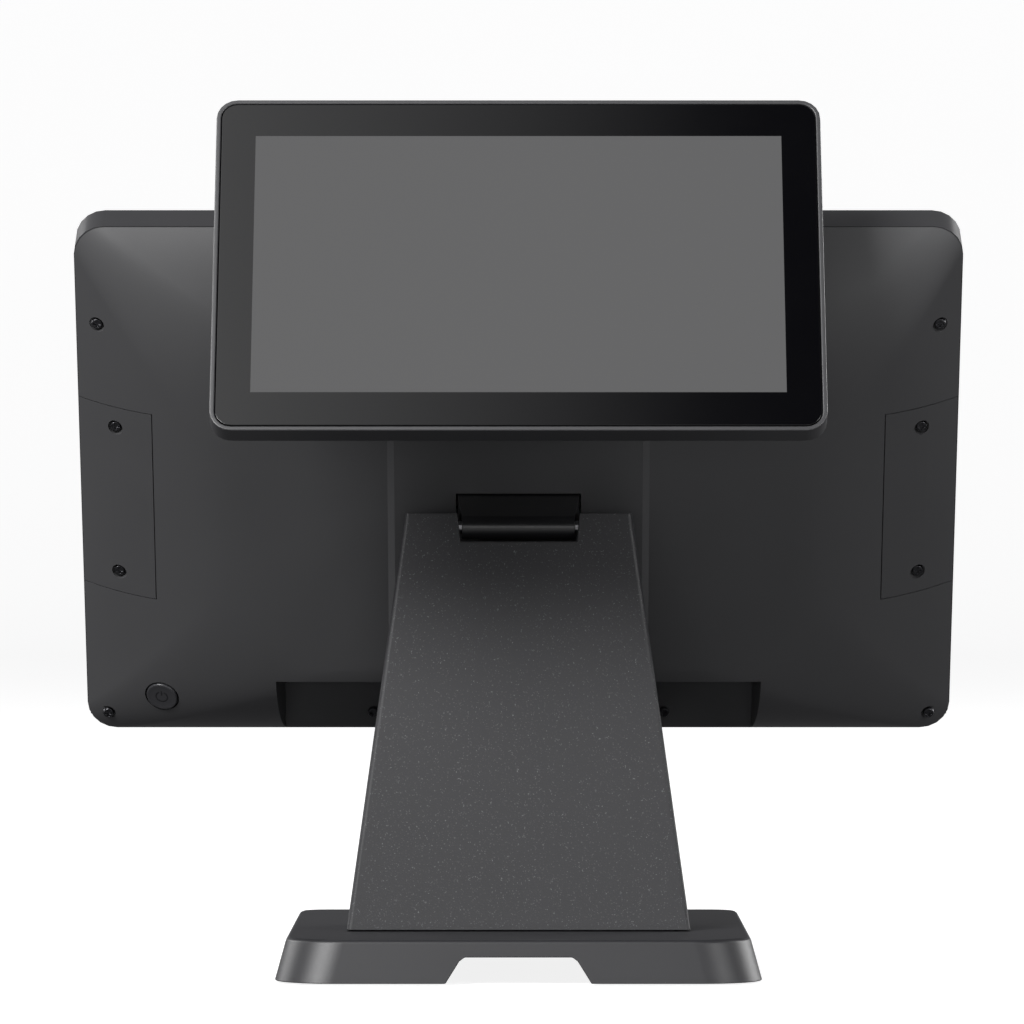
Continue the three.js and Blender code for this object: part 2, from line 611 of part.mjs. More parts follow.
function heatSink() {
  const gap = 0.5 * SINK_WIDTH / SINK_FINS;
  const pitch = (SINK_WIDTH - gap) / (SINK_FINS - 1);
  const [front, tip] = [PORT_BACK, PORT_BACK - SINK_REACH];
  const low = BOARD_BOTTOM + PORT_DEPTH + 4;
  const body = block(-SINK_WIDTH / 2, SINK_WIDTH / 2, tip, front, low, low + SINK_HEIGHT);
  const grooves = [];
  for (let i = 0; i < SINK_FINS - 1; i += 1) {
    const x = -SINK_WIDTH / 2 + gap + i * pitch;
    grooves.push(block(x, x + pitch - gap, tip - 1, front - SINK_BASE, low - 1, low + SINK_HEIGHT + 1));
  }
  return cut(body, ...grooves);
}

function ioBracket() {
  const sheet = block(-IO_WINDOW / 2 - 4, IO_WINDOW / 2 + 4, PORT_BACK - 19, BOARD_BACK + 0.4,
    IO_PLATE_Z, IO_PLATE_Z + IO_SHEET);
  const openings = PORTS.map(([, x, width, height]) => block(
    x - width / 2 - FIT, x + width / 2 + FIT, PORT_BACK - height - FIT, PORT_BACK + THROUGH,
    IO_PLATE_Z - 1, IO_PLATE_Z + IO_SHEET + 1));
  return cut(clip(sheet, pillow(HEAD_PILLOW, COVER_WALL + FIT)), ...openings);
}

function port([, x, width, height, kind]) {
  const mouth = BAY_CEILING + PORT_RECESS;
  const [back, front] = [PORT_BACK - height, PORT_BACK];
  const middle = (back + front) / 2;
  const body = block(x - width / 2, x + width / 2, back, front, mouth, mouth + PORT_DEPTH);
  const hollow = (left, right, y0, y1, depth) => block(left, right, y0, y1, mouth - 1, mouth + depth);
  if (kind === 'round') {
    const bore = bar('z', 3.2, mouth - 1, mouth + 10, [x, middle, 0], 12);
    return join(cut(body, bore), bar('z', 1, mouth + 1, mouth + 11, [x, middle, 0], 8));
  }
  if (kind === 'jack') {
    const latch = hollow(x - 2.2, x + 2.2, back + 1, back + 3, 11);
    return cut(body, hollow(x - width / 2 + 1.6, x + width / 2 - 1.6, back + 2.6, front - 2, 12), latch);
  }
  if (kind === 'pins') {
    const shroud = hollow(x - 8.6, x + 8.6, back + 2, front - 2, 6);
    const rows = [-1, 1].flatMap((row) => [-2, -1, 0, 1].map((i) =>
      block(x + (i + 0.5) * 3.2 - 0.5, x + (i + 0.5) * 3.2 + 0.5,
        middle + row * 1.5 - 0.5, middle + row * 1.5 + 0.5, mouth + 1, mouth + 7)));
    return join(cut(body, shroud), ...rows);
  }
  const levels = kind === 'double' ? [back + height * 0.27, back + height * 0.73] : [middle];
  const reach = width / 2 - 0.8;
  return levels.reduce((shell, level) => join(
    cut(shell, hollow(x - reach, x + reach, level - 2.4, level + 2.4, 9)),
    block(x - reach + 1.2, x + reach - 1.2, level - 0.6, level + 0.9, mouth + 1.5, mouth + 10)), body);
}

function speaker(way) {
  const [width, depth, height] = SPEAKER;
  const x = way * SPEAKER_X;
  const low = HEAD_BOTTOM + FRAME_WALL + FIT;
  const box = block(x - width / 2, x + width / 2, RIM_Y + 1, RIM_Y + 1 + depth, low, low + height);
  return cut(box, bar('z', 4, low - 1, low + 1.5, [x, RIM_Y + 1 + depth / 2, 0], 12));
}

// ---------------------------------------------------------------- power button
// The button's own frame: it stands on the cover's surface and +Y runs into the head.
function buttonPlace() {
  const [x, z, step] = [BUTTON_X, HEAD_BOTTOM + BUTTON_RISE, 3];
  const across = (coverSurfaceY(x + step, z) - coverSurfaceY(x - step, z)) / (2 * step);
  const along = (coverSurfaceY(x, z + step) - coverSurfaceY(x, z - step)) / (2 * step);
  const inward = new THREE.Vector3(-across, 1, -along).normalize();
  const turn = new THREE.Quaternion().setFromUnitVectors(new THREE.Vector3(0, 1, 0), inward);
  return new THREE.Matrix4().compose(
    new THREE.Vector3(x, coverSurfaceY(x, z), z), turn, new THREE.Vector3(1, 1, 1));
}

function buttonTool(radius, from, to) {
  const geometry = new THREE.CylinderGeometry(radius, radius, to - from, 24);
  geometry.translate(0, (from + to) / 2, 0);
  return solidOf(geometry.applyMatrix4(buttonPlace()));
}

function powerButton() {
  const flangeTop = COVER_WALL + FIT;
  const bevel = 0.6;
  const outline = [
    [0, -BUTTON_PROUD], [BUTTON_RADIUS - bevel, -BUTTON_PROUD], [BUTTON_RADIUS, -BUTTON_PROUD + bevel],
    [BUTTON_RADIUS, flangeTop], [BUTTON_RADIUS + BUTTON_FLANGE, flangeTop],
    [BUTTON_RADIUS + BUTTON_FLANGE, flangeTop + BUTTON_FLANGE], [1.5, flangeTop + BUTTON_FLANGE],
    [1.5, flangeTop + 3], [0, flangeTop + 3],
  ];
  return solidOf(new THREE.LatheGeometry(flat(outline), 24));
}

function powerSwitchBoard() {
  const touch = COVER_WALL + FIT + 3 + BUTTON_TRAVEL + FIT;
  return join(block(-3, 3, touch, touch + 3.5, -3, 3), block(-9, 9, touch + 3, touch + 4.4, -7, 7));
}

// ---------------------------------------------------------------- tilt hinge
const circle = (radius, from, to, steps) =>
  new THREE.EllipseCurve(0, 0, radius, radius, radians(from), radians(to))
    .getPoints(steps).map(({ x, y }) => [x, y]);

function hingeCover() {
  const reach = SPINE_Y + 8;
  const nose = circle(NOSE_RADIUS, 90, 270, 12);
  const outer = profile([...nose, [reach, -NOSE_RADIUS], [reach, NOSE_RADIUS]],
    -HEAD_WIDTH / 2, HEAD_WIDTH / 2);
  const [narrow, wide] = [HINGE_COVER_WIDTH / 2, HINGE_COVER_WIDTH / 2 + HINGE_COVER_FLARE];
  const plan = [[-narrow, -NOSE_RADIUS - 1], [narrow, -NOSE_RADIUS - 1], [narrow, 0], [wide, SPINE_Y],
    [wide, reach], [-wide, reach], [-wide, SPINE_Y], [-narrow, 0]];
  const inner = NOSE_RADIUS - HINGE_COVER_WALL;
  const hollow = profile([...circle(inner, 90, 270, 12), [reach + 1, -inner], [reach + 1, inner]],
    -narrow + HINGE_COVER_WALL, narrow - HINGE_COVER_WALL);
  const sleeve = clip(outer, tile(flat(plan), -20, 20));
  return cut(sleeve, hollow, bar('x', SHAFT_RADIUS + PIN_FIT, -60, 60));
}

function hingeBracket() {
  const half = HINGE_COVER_WIDTH / 2 - HINGE_COVER_WALL - FIT;
  const barrel = NOSE_RADIUS - HINGE_COVER_WALL - FIT;
  const arm = barrel - 0.9;
  const plateFront = CHASSIS_BACK - FIT;
  return cut(
    join(bar('x', barrel, -half, half), block(-half, half, 0, plateFront - 1, -arm, arm),
      block(-45, 45, plateFront - 2, plateFront, -9, 30)),
    bar('x', SHAFT_RADIUS + PIN_FIT, -60, 60));
}

function frictionHinge(way) {
  const [x0, x1] = way < 0 ? [-FRICTION_OUTER, -FRICTION_INNER] : [FRICTION_INNER, FRICTION_OUTER];
  return cut(
    join(bar('x', FRICTION_RADIUS, x0, x1), block(x0, x1, -LEAF / 2, LEAF / 2, -LEAF_DROP, 0)),
    bar('x', SHAFT_RADIUS + PIN_FIT, -60, 60));
}

// ---------------------------------------------------------------- neck, in the base's frame
const neckPart = (z) => (z - NECK_FOOT) / (NECK_TOP - NECK_FOOT);
const neckBack = (z) => THREE.MathUtils.lerp(NECK_FOOT_BACK, NECK_HEAD_BACK, neckPart(z));
const neckFront = (z) => THREE.MathUtils.lerp(NECK_FOOT_FRONT, NECK_HEAD_FRONT, neckPart(z));
const neckHalf = (z) => THREE.MathUtils.lerp(NECK_FOOT_WIDTH, NECK_HEAD_WIDTH, neckPart(z)) / 2;

function neckSolid(inset, low, high) {
  const rings = [low, high].map((z) => roundedOutline(
    -neckHalf(z) + inset, neckHalf(z) - inset, neckBack(z) + inset, neckFront(z) - inset,
    Math.max(NECK_CORNER - inset, 0.6), 3).map(({ x, y }) => new THREE.Vector3(x, y, z)));
  return loft(rings);
}

// The notch for the hinge cover: wider at the top, and wider towards the head.
function notchSolid(grow) {
  const [low, high] = [NOTCH_FLOOR - grow, NECK_TOP + THROUGH];
  const [wide, narrow] = [NOTCH_WIDTH / 2 + grow, NOTCH_WIDTH / 2 - NOTCH_DRAFT + grow];
  const face = [[-narrow, low], [narrow, low], [wide, high], [-wide, high]];
  const rear = HINGE_COVER_WIDTH / 2 + RUN + grow;
  const front = rear + HINGE_COVER_FLARE;
  const plan = [[-rear, -80], [rear, -80], [rear, 0], [front, HINGE_REACH], [front, 80],
    [-front, 80], [-front, HINGE_REACH], [-rear, 0]];
  return join(slab(flat(face), -80, 80), tile(flat(plan), low, high));
}

// Everything behind a plane that lies parallel to the rear face.
function behindSeam(shift) {
  const [low, high] = [NECK_FOOT - 10, NECK_TOP + 10];
  return profile([[-150, low], [neckBack(low) + NECK_SEAM + shift, low],
    [neckBack(high) + NECK_SEAM + shift, high], [-150, high]], -BASE_WIDTH, BASE_WIDTH);
}

function neckShell() {
  const hollow = cut(
    neckSolid(NECK_WALL, NECK_FOOT - THROUGH, NECK_TOP - NECK_WALL), notchSolid(NECK_WALL));
  const shaftHole = bar(
    'x', SHAFT_RADIUS + 2 * PIN_FIT, -SHAFT_LENGTH, SHAFT_LENGTH, [0, 0, TILT_HEIGHT]);
  const ear = neckHalf(TILT_HEIGHT) - NECK_WALL - 0.5;
  const bore = clip(shaftHole, block(-ear, ear, -20, 20, TILT_HEIGHT - 20, TILT_HEIGHT + 20));
  return cut(neckSolid(0, NECK_FOOT, NECK_TOP), hollow, notchSolid(0), bore);
}

const footScrewPlaces = [-1, 1].flatMap((sideX) => [-1, 1].map((sideY) => ({
  x: sideX * FOOT_SCREW_PITCH[0] / 2, y: footCentreY() + sideY * FOOT_SCREW_PITCH[1] / 2,
})));

function footCentreY() {
  return (NECK_FOOT_BACK + NECK_SEAM + NECK_FOOT_FRONT) / 2;
}

function neckColumn() {
  const top = NECK_FOOT + FOOT_FLANGE;
  const flange = clip(
    block(-100, 100, -100, 100, NECK_FOOT, top), neckSolid(NECK_WALL / 2, NECK_FOOT, NECK_TOP));
  const bolts = footScrewPlaces.map(({ x, y }) =>
    bar('z', 2 + PIN_FIT, NECK_FOOT - 1, top + 1, [x, y, 0], 10));
  const cableHole = tile(rectangle(...FOOT_HOLE, 0, footCentreY(), 5, 3), NECK_FOOT - 1, top + 1);
  const pads = mirrored.map(([, way]) => {
    const [x0, x1] = way < 0 ? [-FRICTION_OUTER, -FRICTION_INNER] : [FRICTION_INNER, FRICTION_OUTER];
    return block(x0, x1, LEAF / 2 + FIT, NECK_HEAD_FRONT - 1,
      TILT_HEIGHT - LEAF_DROP, TILT_HEIGHT - FRICTION_RADIUS - 3);
  });
  const body = cut(join(neckShell(), flange, ...pads), cableHole, ...bolts);
  const slot = slab(rectangle(...CABLE_SLOT, 0, CABLE_SLOT_HEIGHT, 8, 4), 0, 60);
  return cut(body, slot, behindSeam(FIT / 2));
}

function neckRearCover() {
  return clip(neckShell(), behindSeam(-FIT / 2));
}

// ---------------------------------------------------------------- base
function baseRings(inset, levels) {
  const corners = [BASE_FRONT_CORNER, BASE_FRONT_CORNER, BASE_REAR_CORNER, BASE_REAR_CORNER];
  return loft(levels.map(([z, extra]) => {
    const draft = BASE_DRAFT * (z - BASE_GROUND) / (BASE_TOP - BASE_GROUND) + inset + extra;
    const outline = roundedOutline(
      -BASE_WIDTH / 2 + draft, BASE_WIDTH / 2 - draft, BASE_REAR + draft, BASE_REAR + BASE_DEPTH - draft,
      corners.map((radius) => Math.max(radius - inset, 2)), 6);
    return outline.map(({ x, y }) => new THREE.Vector3(x, y, z));
  }));
}

const baseCorners = (inset) => [-1, 1].flatMap((sideX) => [-1, 1].map((sideY) => ({
  name: `${sideY < 0 ? 'rear' : 'front'}_${sideX < 0 ? 'left' : 'right'}`,
  x: sideX * (BASE_WIDTH / 2 - inset), y: BASE_CENTRE_Y + sideY * (BASE_DEPTH / 2 - inset),
})));

function archSolid(grow, from, to) {
  const high = BASE_GROUND + ARCH_HEIGHT + grow;
  const [wide, narrow] = [ARCH_WIDTH / 2 + grow, ARCH_TOP_WIDTH / 2 + grow];
  const outline = [[-wide, -1], [wide, -1], [wide, BASE_GROUND],
    [narrow + 1.2, high - 1.6], [narrow - 1, high],
    [-narrow + 1, high], [-narrow - 1.2, high - 1.6], [-wide, BASE_GROUND]];
  return slab(flat(outline), from, to);
}

function baseCasting() {
  const body = baseRings(0, [[BASE_GROUND, 0], [BASE_TOP - BASE_BEVEL, 0], [BASE_TOP, BASE_BEVEL]]);
  const hollow = baseRings(BASE_WALL, [[BASE_GROUND - THROUGH, 0], [BASE_CEILING, 0]]);
  const posts = baseCorners(POST_INSET).map(({ x, y }) =>
    bar('z', 5, PLATE_GROUND + PLATE + FIT, BASE_TOP - 1, [x, y, 0], 12));
  const pads = footScrewPlaces.map(({ x, y }) =>
    bar('z', 6, BASE_CEILING - 3, BASE_TOP - 1, [x, y, 0], 12));
  const bores = baseCorners(POST_INSET).map(({ x, y }) =>
    bar('z', SCREW_BORE, 0, BASE_TOP - 3, [x, y, 0], 8));
  const bolts = footScrewPlaces.map(({ x, y }) =>
    bar('z', 2 + PIN_FIT, 0, BASE_TOP + 1, [x, y, 0], 10));
  const cableHole = tile(rectangle(...FOOT_HOLE, 0, footCentreY(), 5, 3), BASE_CEILING - 1, BASE_TOP + 1);
  const arch = archSolid(0, BASE_REAR - THROUGH, BASE_REAR + 16);
  return cut(join(cut(body, hollow), ...posts, ...pads), arch, cableHole, ...bores, ...bolts);
}

function basePlate() {
  const plate = baseRings(BASE_WALL + SHADOW_GAP, [[PLATE_GROUND, 0], [PLATE_GROUND + PLATE, 0]]);
  const channelEnd = footCentreY() + FOOT_HOLE[1] / 2 + CHANNEL_PAST_HOLE;
  const channel = tile(flat([
    [-ARCH_WIDTH / 2, BASE_REAR - THROUGH], [ARCH_WIDTH / 2, BASE_REAR - THROUGH],
    [ARCH_WIDTH / 2, channelEnd], [-ARCH_WIDTH / 2, channelEnd]]), 0, BASE_TOP);
  const holes = baseCorners(POST_INSET).map(({ x, y }) => bar('z', SCREW_BORE, 0, BASE_TOP, [x, y, 0], 8));
  const access = footScrewPlaces.map(({ x, y }) => bar('z', 5, 0, BASE_TOP, [x, y, 0], 12));
  return cut(plate, channel, ...holes, ...access);
}

function rubberFoot({ x, y }) {
  const top = PLATE_GROUND - FIT;
  const outline = [[0, 0], [FOOT_RADIUS - 0.8, 0], [FOOT_RADIUS, 0.8], [FOOT_RADIUS, top], [0, top]];
  const geometry = new THREE.LatheGeometry(flat(outline), 20);
  geometry.rotateX(Math.PI / 2);
  geometry.translate(x, y, 0);
  return solidOf(geometry);
}

// ---------------------------------------------------------------- second display, in its own frame
const SECOND_Z = PIVOT_BELOW_CENTRE;
const SECOND_PILLOW = {
  width: SECOND_WIDTH, height: SECOND_HEIGHT, corner: SECOND_CORNER, rise: SECOND_RISE,
  slope: SECOND_SLOPE, footSlope: SECOND_SLOPE, rimY: SECOND_RIM_Y, centreZ: SECOND_Z, way: 1,
};

function secondOutline(inset) {
  return rectangle(
    SECOND_WIDTH - 2 * inset, SECOND_HEIGHT - 2 * inset, 0, SECOND_Z, SECOND_CORNER - inset, 5);
}

function secondFrame() {
  const shell = slab(secondOutline(0), SECOND_FACE_Y, SECOND_RIM_Y);
  const ledgeFront = SECOND_FACE_Y + SECOND_GLASS + FIT;
  const glassPocket = slab(secondOutline(SECOND_LIP), SECOND_FACE_Y - THROUGH, ledgeFront);
  const hollow = slab(secondOutline(SECOND_LIP), ledgeFront + SECOND_LEDGE, SECOND_RIM_Y + THROUGH);
  const view = rectangle(SECOND_VIEW[0] + 6, SECOND_VIEW[1] + 6, 0, SECOND_Z);
  return cut(shell, glassPocket, hollow, slab(view, SECOND_FACE_Y, SECOND_RIM_Y));
}

function secondGlass() {
  return slab(secondOutline(SECOND_LIP + SHADOW_GAP), SECOND_FACE_Y, SECOND_FACE_Y + SECOND_GLASS);
}

function secondLcd() {
  const border = 2 * SECOND_LCD_BORDER;
  const outline = rectangle(SECOND_VIEW[0] + border, SECOND_VIEW[1] + border, 0, SECOND_Z);
  return slab(outline, SECOND_LCD_FACE, SECOND_LCD_FACE + SECOND_LCD_DEPTH);
}

function secondBoard() {
  const [width, height, thickness] = SECOND_BOARD;
  const face = SECOND_RIM_Y + 2;
  const board = slab(rectangle(width, height, 0, SECOND_Z + 20), face, face + thickness);
  const socket = block(
    -9, 9, face + thickness - 0.2, face + thickness + 3, SECOND_Z + 12, SECOND_Z + 20);
  return join(board, socket);
}

function secondRearCover() {
  const solid = cut(pillow(SECOND_PILLOW, 0, 5), pillow(SECOND_PILLOW, SECOND_WALL, 5));
  const aheadOfRim = block(-SECOND_WIDTH, SECOND_WIDTH, SECOND_RIM_Y + FIT, 0,
    SECOND_Z - SECOND_HEIGHT, SECOND_Z + SECOND_HEIGHT);
  const cableHole = bar('y', 5, SECOND_BACK_Y - 6, 0, [0, 0, SECOND_Z]);
  return cut(clip(solid, aheadOfRim), cableHole);
}

function secondHingePlate() {
  const [width, height, sheet] = SECOND_PLATE;
  const back = SECOND_BACK_Y + FIT;
  const plate = slab(rectangle(width, height, 0, 0, 4, 3), back, back + sheet);
  const gap = KNUCKLE_WIDTH / 2 + FIT;
  const outer = gap + 11;
  const ears = mirrored.flatMap(([, way]) => {
    const [x0, x1] = way < 0 ? [-outer, -gap] : [gap, outer];
    return [bar('x', KNUCKLE, x0, x1), block(x0, x1, back + 1, 0, -KNUCKLE, KNUCKLE)];
  });
  return cut(join(plate, ...ears), bar('x', SECOND_PIN + PIN_FIT, -60, 60));
}

function secondHingePin() {
  const half = KNUCKLE_WIDTH / 2 + FIT + 11 + 1;
  return bar('x', SECOND_PIN, -half, half);
}

// In the head's frame: a foot on the spine, an arm and the middle knuckle.
function secondArm() {
  const [low, high] = ARM_ROOT;
  const foot = block(-ARM_WIDTH / 2, ARM_WIDTH / 2, SPINE_Y - FIT - ARM_PLATE, SPINE_Y - FIT, low, high);
  const root = SPINE_Y - FIT - 1;
  const way = new THREE.Vector2(PIVOT_Y - root, PIVOT_Z - (low + high) / 2).normalize();
  const across = [-way.y * KNUCKLE, way.x * KNUCKLE];
  const web = profile([
    [root, low + 2], [root, high - 2],
    [PIVOT_Y - across[0], PIVOT_Z - across[1]], [PIVOT_Y + across[0], PIVOT_Z + across[1]],
  ], -KNUCKLE_WIDTH / 2, KNUCKLE_WIDTH / 2);
  const knuckle = bar('x', KNUCKLE, -KNUCKLE_WIDTH / 2, KNUCKLE_WIDTH / 2, [0, PIVOT_Y, PIVOT_Z]);
  return cut(join(foot, web, knuckle), bar('x', SECOND_PIN + PIN_FIT, -60, 60, [0, PIVOT_Y, PIVOT_Z]));
}

// ---------------------------------------------------------------- assembly
function placedScrew(group, name, x, y, z, length) {
  const mesh = add(group, name, screw(length), 'screwSteel');
  mesh.position.set(x, y, z);
}

function buildBase(group) {
  add(group, 'base_casting', baseCasting(), 'paintedMetal');
  add(group, 'base_plate', basePlate(), 'zincSteel');
  for (const corner of baseCorners(FOOT_INSET)) {
    add(group, `foot_${corner.name}`, rubberFoot(corner), 'rubber');
  }
  for (const { name, x, y } of baseCorners(POST_INSET)) {
    const mesh = add(group, `plate_screw_${name}`, screw(9), 'screwSteel');
    mesh.rotation.x = Math.PI / 2;
    mesh.position.set(x, y, PLATE_GROUND - FIT);
  }
  footScrewPlaces.forEach(({ x, y }, i) => {
    const mesh = add(group, `neck_screw_${i + 1}`, screw(12, 4, 2), 'screwSteel');
    mesh.rotation.x = Math.PI / 2;
    mesh.position.set(x, y, BASE_CEILING - 3 - FIT);
  });
}

function buildNeck(group) {
  add(group, 'neck_column', neckColumn(), 'paintedMetal');
  add(group, 'neck_rear_cover', neckRearCover(), 'paintedMetal');
  for (const [side, way] of mirrored) {
    add(group, `friction_hinge_${side}`, frictionHinge(way), 'zincSteel').position.z = TILT_HEIGHT;
  }
}

function buildHead() {
  const head = new THREE.Group();
  head.position.z = TILT_HEIGHT;
  head.rotation.x = radians(HEAD_LEAN);
  add(head, 'main_front_frame', frontFrame(), 'rimShell');
  add(head, 'main_touch_glass', touchGlass(), 'glass');
  add(head, 'main_lcd_panel', lcdPanel(), 'panelMetal');
  add(head, 'main_chassis_plate', chassisPlate(), 'zincSteel');
  add(head, 'main_rear_cover', rearCover(), 'blackShell');
  add(head, 'motherboard', motherboard(), 'circuitBoard');
  add(head, 'heat_sink', heatSink(), 'panelMetal');
  add(head, 'io_bracket', ioBracket(), 'zincSteel');
  for (const row of PORTS) {
    add(head, row[0], port(row), 'darkPolymer');
  }
  for (const [side, way] of mirrored) {
    add(head, `speaker_${side}`, speaker(way), 'darkPolymer');
    add(head, `side_cover_${side}`, sideCover(way), 'blackShell');
    sideScrewPlaces(way).forEach(({ x, z }, i) => {
      const name = `side_screw_${i === 0 ? 'upper' : 'lower'}_${side}`;
      placedScrew(head, name, x, coverSurfaceY(x, z) + 3 - FIT, z, 6);
    });
  }
  for (const { name, x, z } of caseScrewPlaces) {
    placedScrew(head, name, x, CASE_SEAT - FIT, z, SCREW_LENGTH);
  }
  for (const { name, x, z } of bayScrewPlaces) {
    placedScrew(head, name, x, BAY_FLOOR_Y - FIT, z, 7);
  }
  add(head, 'hinge_bracket', hingeBracket(), 'zincSteel');
  add(head, 'hinge_cover', hingeCover(), 'darkPolymer');
  add(head, 'hinge_shaft', bar('x', SHAFT_RADIUS, -SHAFT_LENGTH / 2, SHAFT_LENGTH / 2), 'zincSteel');
  add(head, 'second_arm', secondArm(), 'paintedMetal');

  const button = new THREE.Group();
  buttonPlace().decompose(button.position, button.quaternion, button.scale);
  add(button, 'power_button', powerButton(), 'darkPolymer');
  add(button, 'power_switch_board', powerSwitchBoard(), 'circuitBoard');
  head.add(button, buildSecondDisplay());
  return head;
}

function buildSecondDisplay() {
  const second = new THREE.Group();
  second.position.set(0, PIVOT_Y, PIVOT_Z);
  second.rotation.x = -radians(HEAD_LEAN + SECOND_LEAN);
  add(second, 'second_frame', secondFrame(), 'rimShell');
  add(second, 'second_glass', secondGlass(), 'glass');
  add(second, 'second_lcd', secondLcd(), 'panelMetal');
  add(second, 'second_board', secondBoard(), 'circuitBoard');
  add(second, 'second_rear_cover', secondRearCover(), 'blackShell');
  add(second, 'second_hinge_plate', secondHingePlate(), 'paintedMetal');
  add(second, 'second_hinge_pin', secondHingePin(), 'zincSteel');
  return second;
}

// The origin is on the table, under the middle of the whole terminal.
const terminal = new THREE.Group();
buildBase(terminal);
buildNeck(terminal);
terminal.add(buildHead());
terminal.updateMatrixWorld(true);
const extent = new THREE.Box3().setFromObject(terminal, true);
terminal.position.set(0, -(extent.min.y + extent.max.y) / 2, -extent.min.z);

export default terminal;
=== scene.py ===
# Looks of a countertop checkout terminal: the pieces that show are modelled finely here
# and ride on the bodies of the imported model. Metres, +Z up, the customer at -Y.
import json
import math
import bmesh
import bpy
from mathutils import Matrix, Vector


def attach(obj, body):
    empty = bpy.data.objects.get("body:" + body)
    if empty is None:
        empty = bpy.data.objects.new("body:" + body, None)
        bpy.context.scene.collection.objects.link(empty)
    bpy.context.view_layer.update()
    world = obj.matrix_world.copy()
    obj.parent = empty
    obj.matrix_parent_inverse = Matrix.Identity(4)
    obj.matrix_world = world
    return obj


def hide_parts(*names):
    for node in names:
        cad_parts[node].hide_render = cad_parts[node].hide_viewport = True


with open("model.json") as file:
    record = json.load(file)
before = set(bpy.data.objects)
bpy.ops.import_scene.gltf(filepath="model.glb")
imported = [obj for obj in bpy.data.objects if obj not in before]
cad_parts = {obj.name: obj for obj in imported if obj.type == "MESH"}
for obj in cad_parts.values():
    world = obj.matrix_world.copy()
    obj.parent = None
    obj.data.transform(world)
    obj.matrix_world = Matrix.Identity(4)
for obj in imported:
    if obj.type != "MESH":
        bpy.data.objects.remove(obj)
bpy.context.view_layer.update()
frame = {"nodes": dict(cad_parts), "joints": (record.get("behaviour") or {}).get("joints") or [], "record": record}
bpy.ops.object.select_all(action="DESELECT")

MM = 0.001
NODES = frame["nodes"]
JOINTS = {joint["name"]: joint for joint in frame["joints"]}
SLOT_OF = {part["node"]: part["material_slot"] for part in frame["record"]["subparts"]}
BODIES = frame["record"]["behaviour"]["bodies"]
BODY_OF = {node: body for body, nodes in BODIES.items() for node in nodes}

# ---------------------------------------------------------------- local frames
HEAD_LEAN = math.radians(26.2)
SECOND_LEAN = math.radians(-29.1)


def leaning(joint, lean):
    return Matrix.Translation(JOINTS[joint]["pos_m"]) @ Matrix.Rotation(lean, 4, "X")


HEAD = leaning("head_tilt", HEAD_LEAN)
SECOND = leaning("second_tilt", SECOND_LEAN)
WORLD = Matrix.Identity(4)


def box_in(place, *nodes):
    """Lowest and highest corner of CAD nodes, measured in a leaning frame."""
    back = place.inverted()
    points = [back @ v.co for node in nodes for v in NODES[node].data.vertices]
    low = Vector([min(p[i] for p in points) for i in range(3)])
    high = Vector([max(p[i] for p in points) for i in range(3)])
    return low, high


# ---------------------------------------------------------------- sizes of the main head
RIM_LOW, RIM_HIGH = box_in(HEAD, "main_front_frame")
COVER_LOW, _ = box_in(HEAD, "main_rear_cover")
RIM_Y = RIM_LOW.y
HALF_WIDTH = RIM_HIGH.x
HEAD_TOP = RIM_HIGH.z
HEAD_BOTTOM = RIM_LOW.z
SPINE_Y = COVER_LOW.y
SPINE_RISE = 3 * MM
DOME_RISE = RIM_Y - SPINE_Y - SPINE_RISE
DOME_SLOPE = math.radians(40)
DOME_FOOT_SLOPE = math.radians(60)
HEAD_CORNER = 13 * MM
CORNER_SOFTNESS = 0.5
COVER_WALL = 2.5 * MM
SIDE_COVER_WALL = 2.2 * MM
FIT = 0.3 * MM
SHADOW_GAP = 0.4 * MM
RUN = 0.7 * MM
SPINE_HALF = 53.8 * MM
SPINE_TOP_MARGIN = 22 * MM
BAY_HALF = 107.5 * MM
BAY_DRAFT = 4 * MM
BAY_FLOOR_Y = RIM_Y - 1.5 * MM
BAY_CEILING = HEAD_BOTTOM + 36 * MM
SCREW_BORE = 1.8 * MM
POCKET = 3.3 * MM
POST_WALL = 1.9 * MM
POST_FLOOR = 1 * MM
POST_ABOVE_SEAT = 6 * MM
SEAT_DEPTH = 4.5 * MM              # a case screw's seat, from the rim
CUP_RADIUS = POCKET + POST_WALL - 0.5 * MM
CUP_DEPTH = 5 * MM                 # a flank cover's screw cup, from the surface
SUNK = 3 * MM                      # a flank screw's seat, from the surface
BORE_SIDES = 16
TOOL_LEAD = 8 * MM                 # how far a cutting bar starts before the surface
WINDOW_LAND = 4 * MM
SLOT_DEPTH = 12 * MM
FAR = 0.5
UNDER_SKIN = 0.08 * MM             # joined forms stop this far under the surface they meet
PAST = 1 * MM                      # how far a form runs past what trims it
TIDY = 0.001 * MM                  # corners nearer than this after a cut are one
SEAM = 0.005 * MM                  # corners of a CAD mesh nearer than this are one
FLAT_ANGLE = 0.6                   # degrees: faces that turn less than this are one
SMOOTH_ANGLE = 35                  # degrees: edges that turn more than this stay crisp
COVER_EDGE_ANGLE = 40              # degrees: edges of the new covers that are rounded
FOOT_EDGE = 0.4 * MM
SCREW_EDGE = 0.15 * MM


# ---------------------------------------------------------------- modelling by hand, in short
def only(piece):
    bpy.ops.object.select_all(action="DESELECT")
    piece.select_set(True)
    bpy.context.view_layer.objects.active = piece


def named(name, place=WORLD, local=None):
    """Gives the new primitive its name and puts its place into its mesh."""
    piece = bpy.context.object
    piece.name = name
    piece.data.name = name
    piece.data.transform(place @ (local or piece.matrix_basis))
    piece.matrix_basis = Matrix.Identity(4)
    return piece


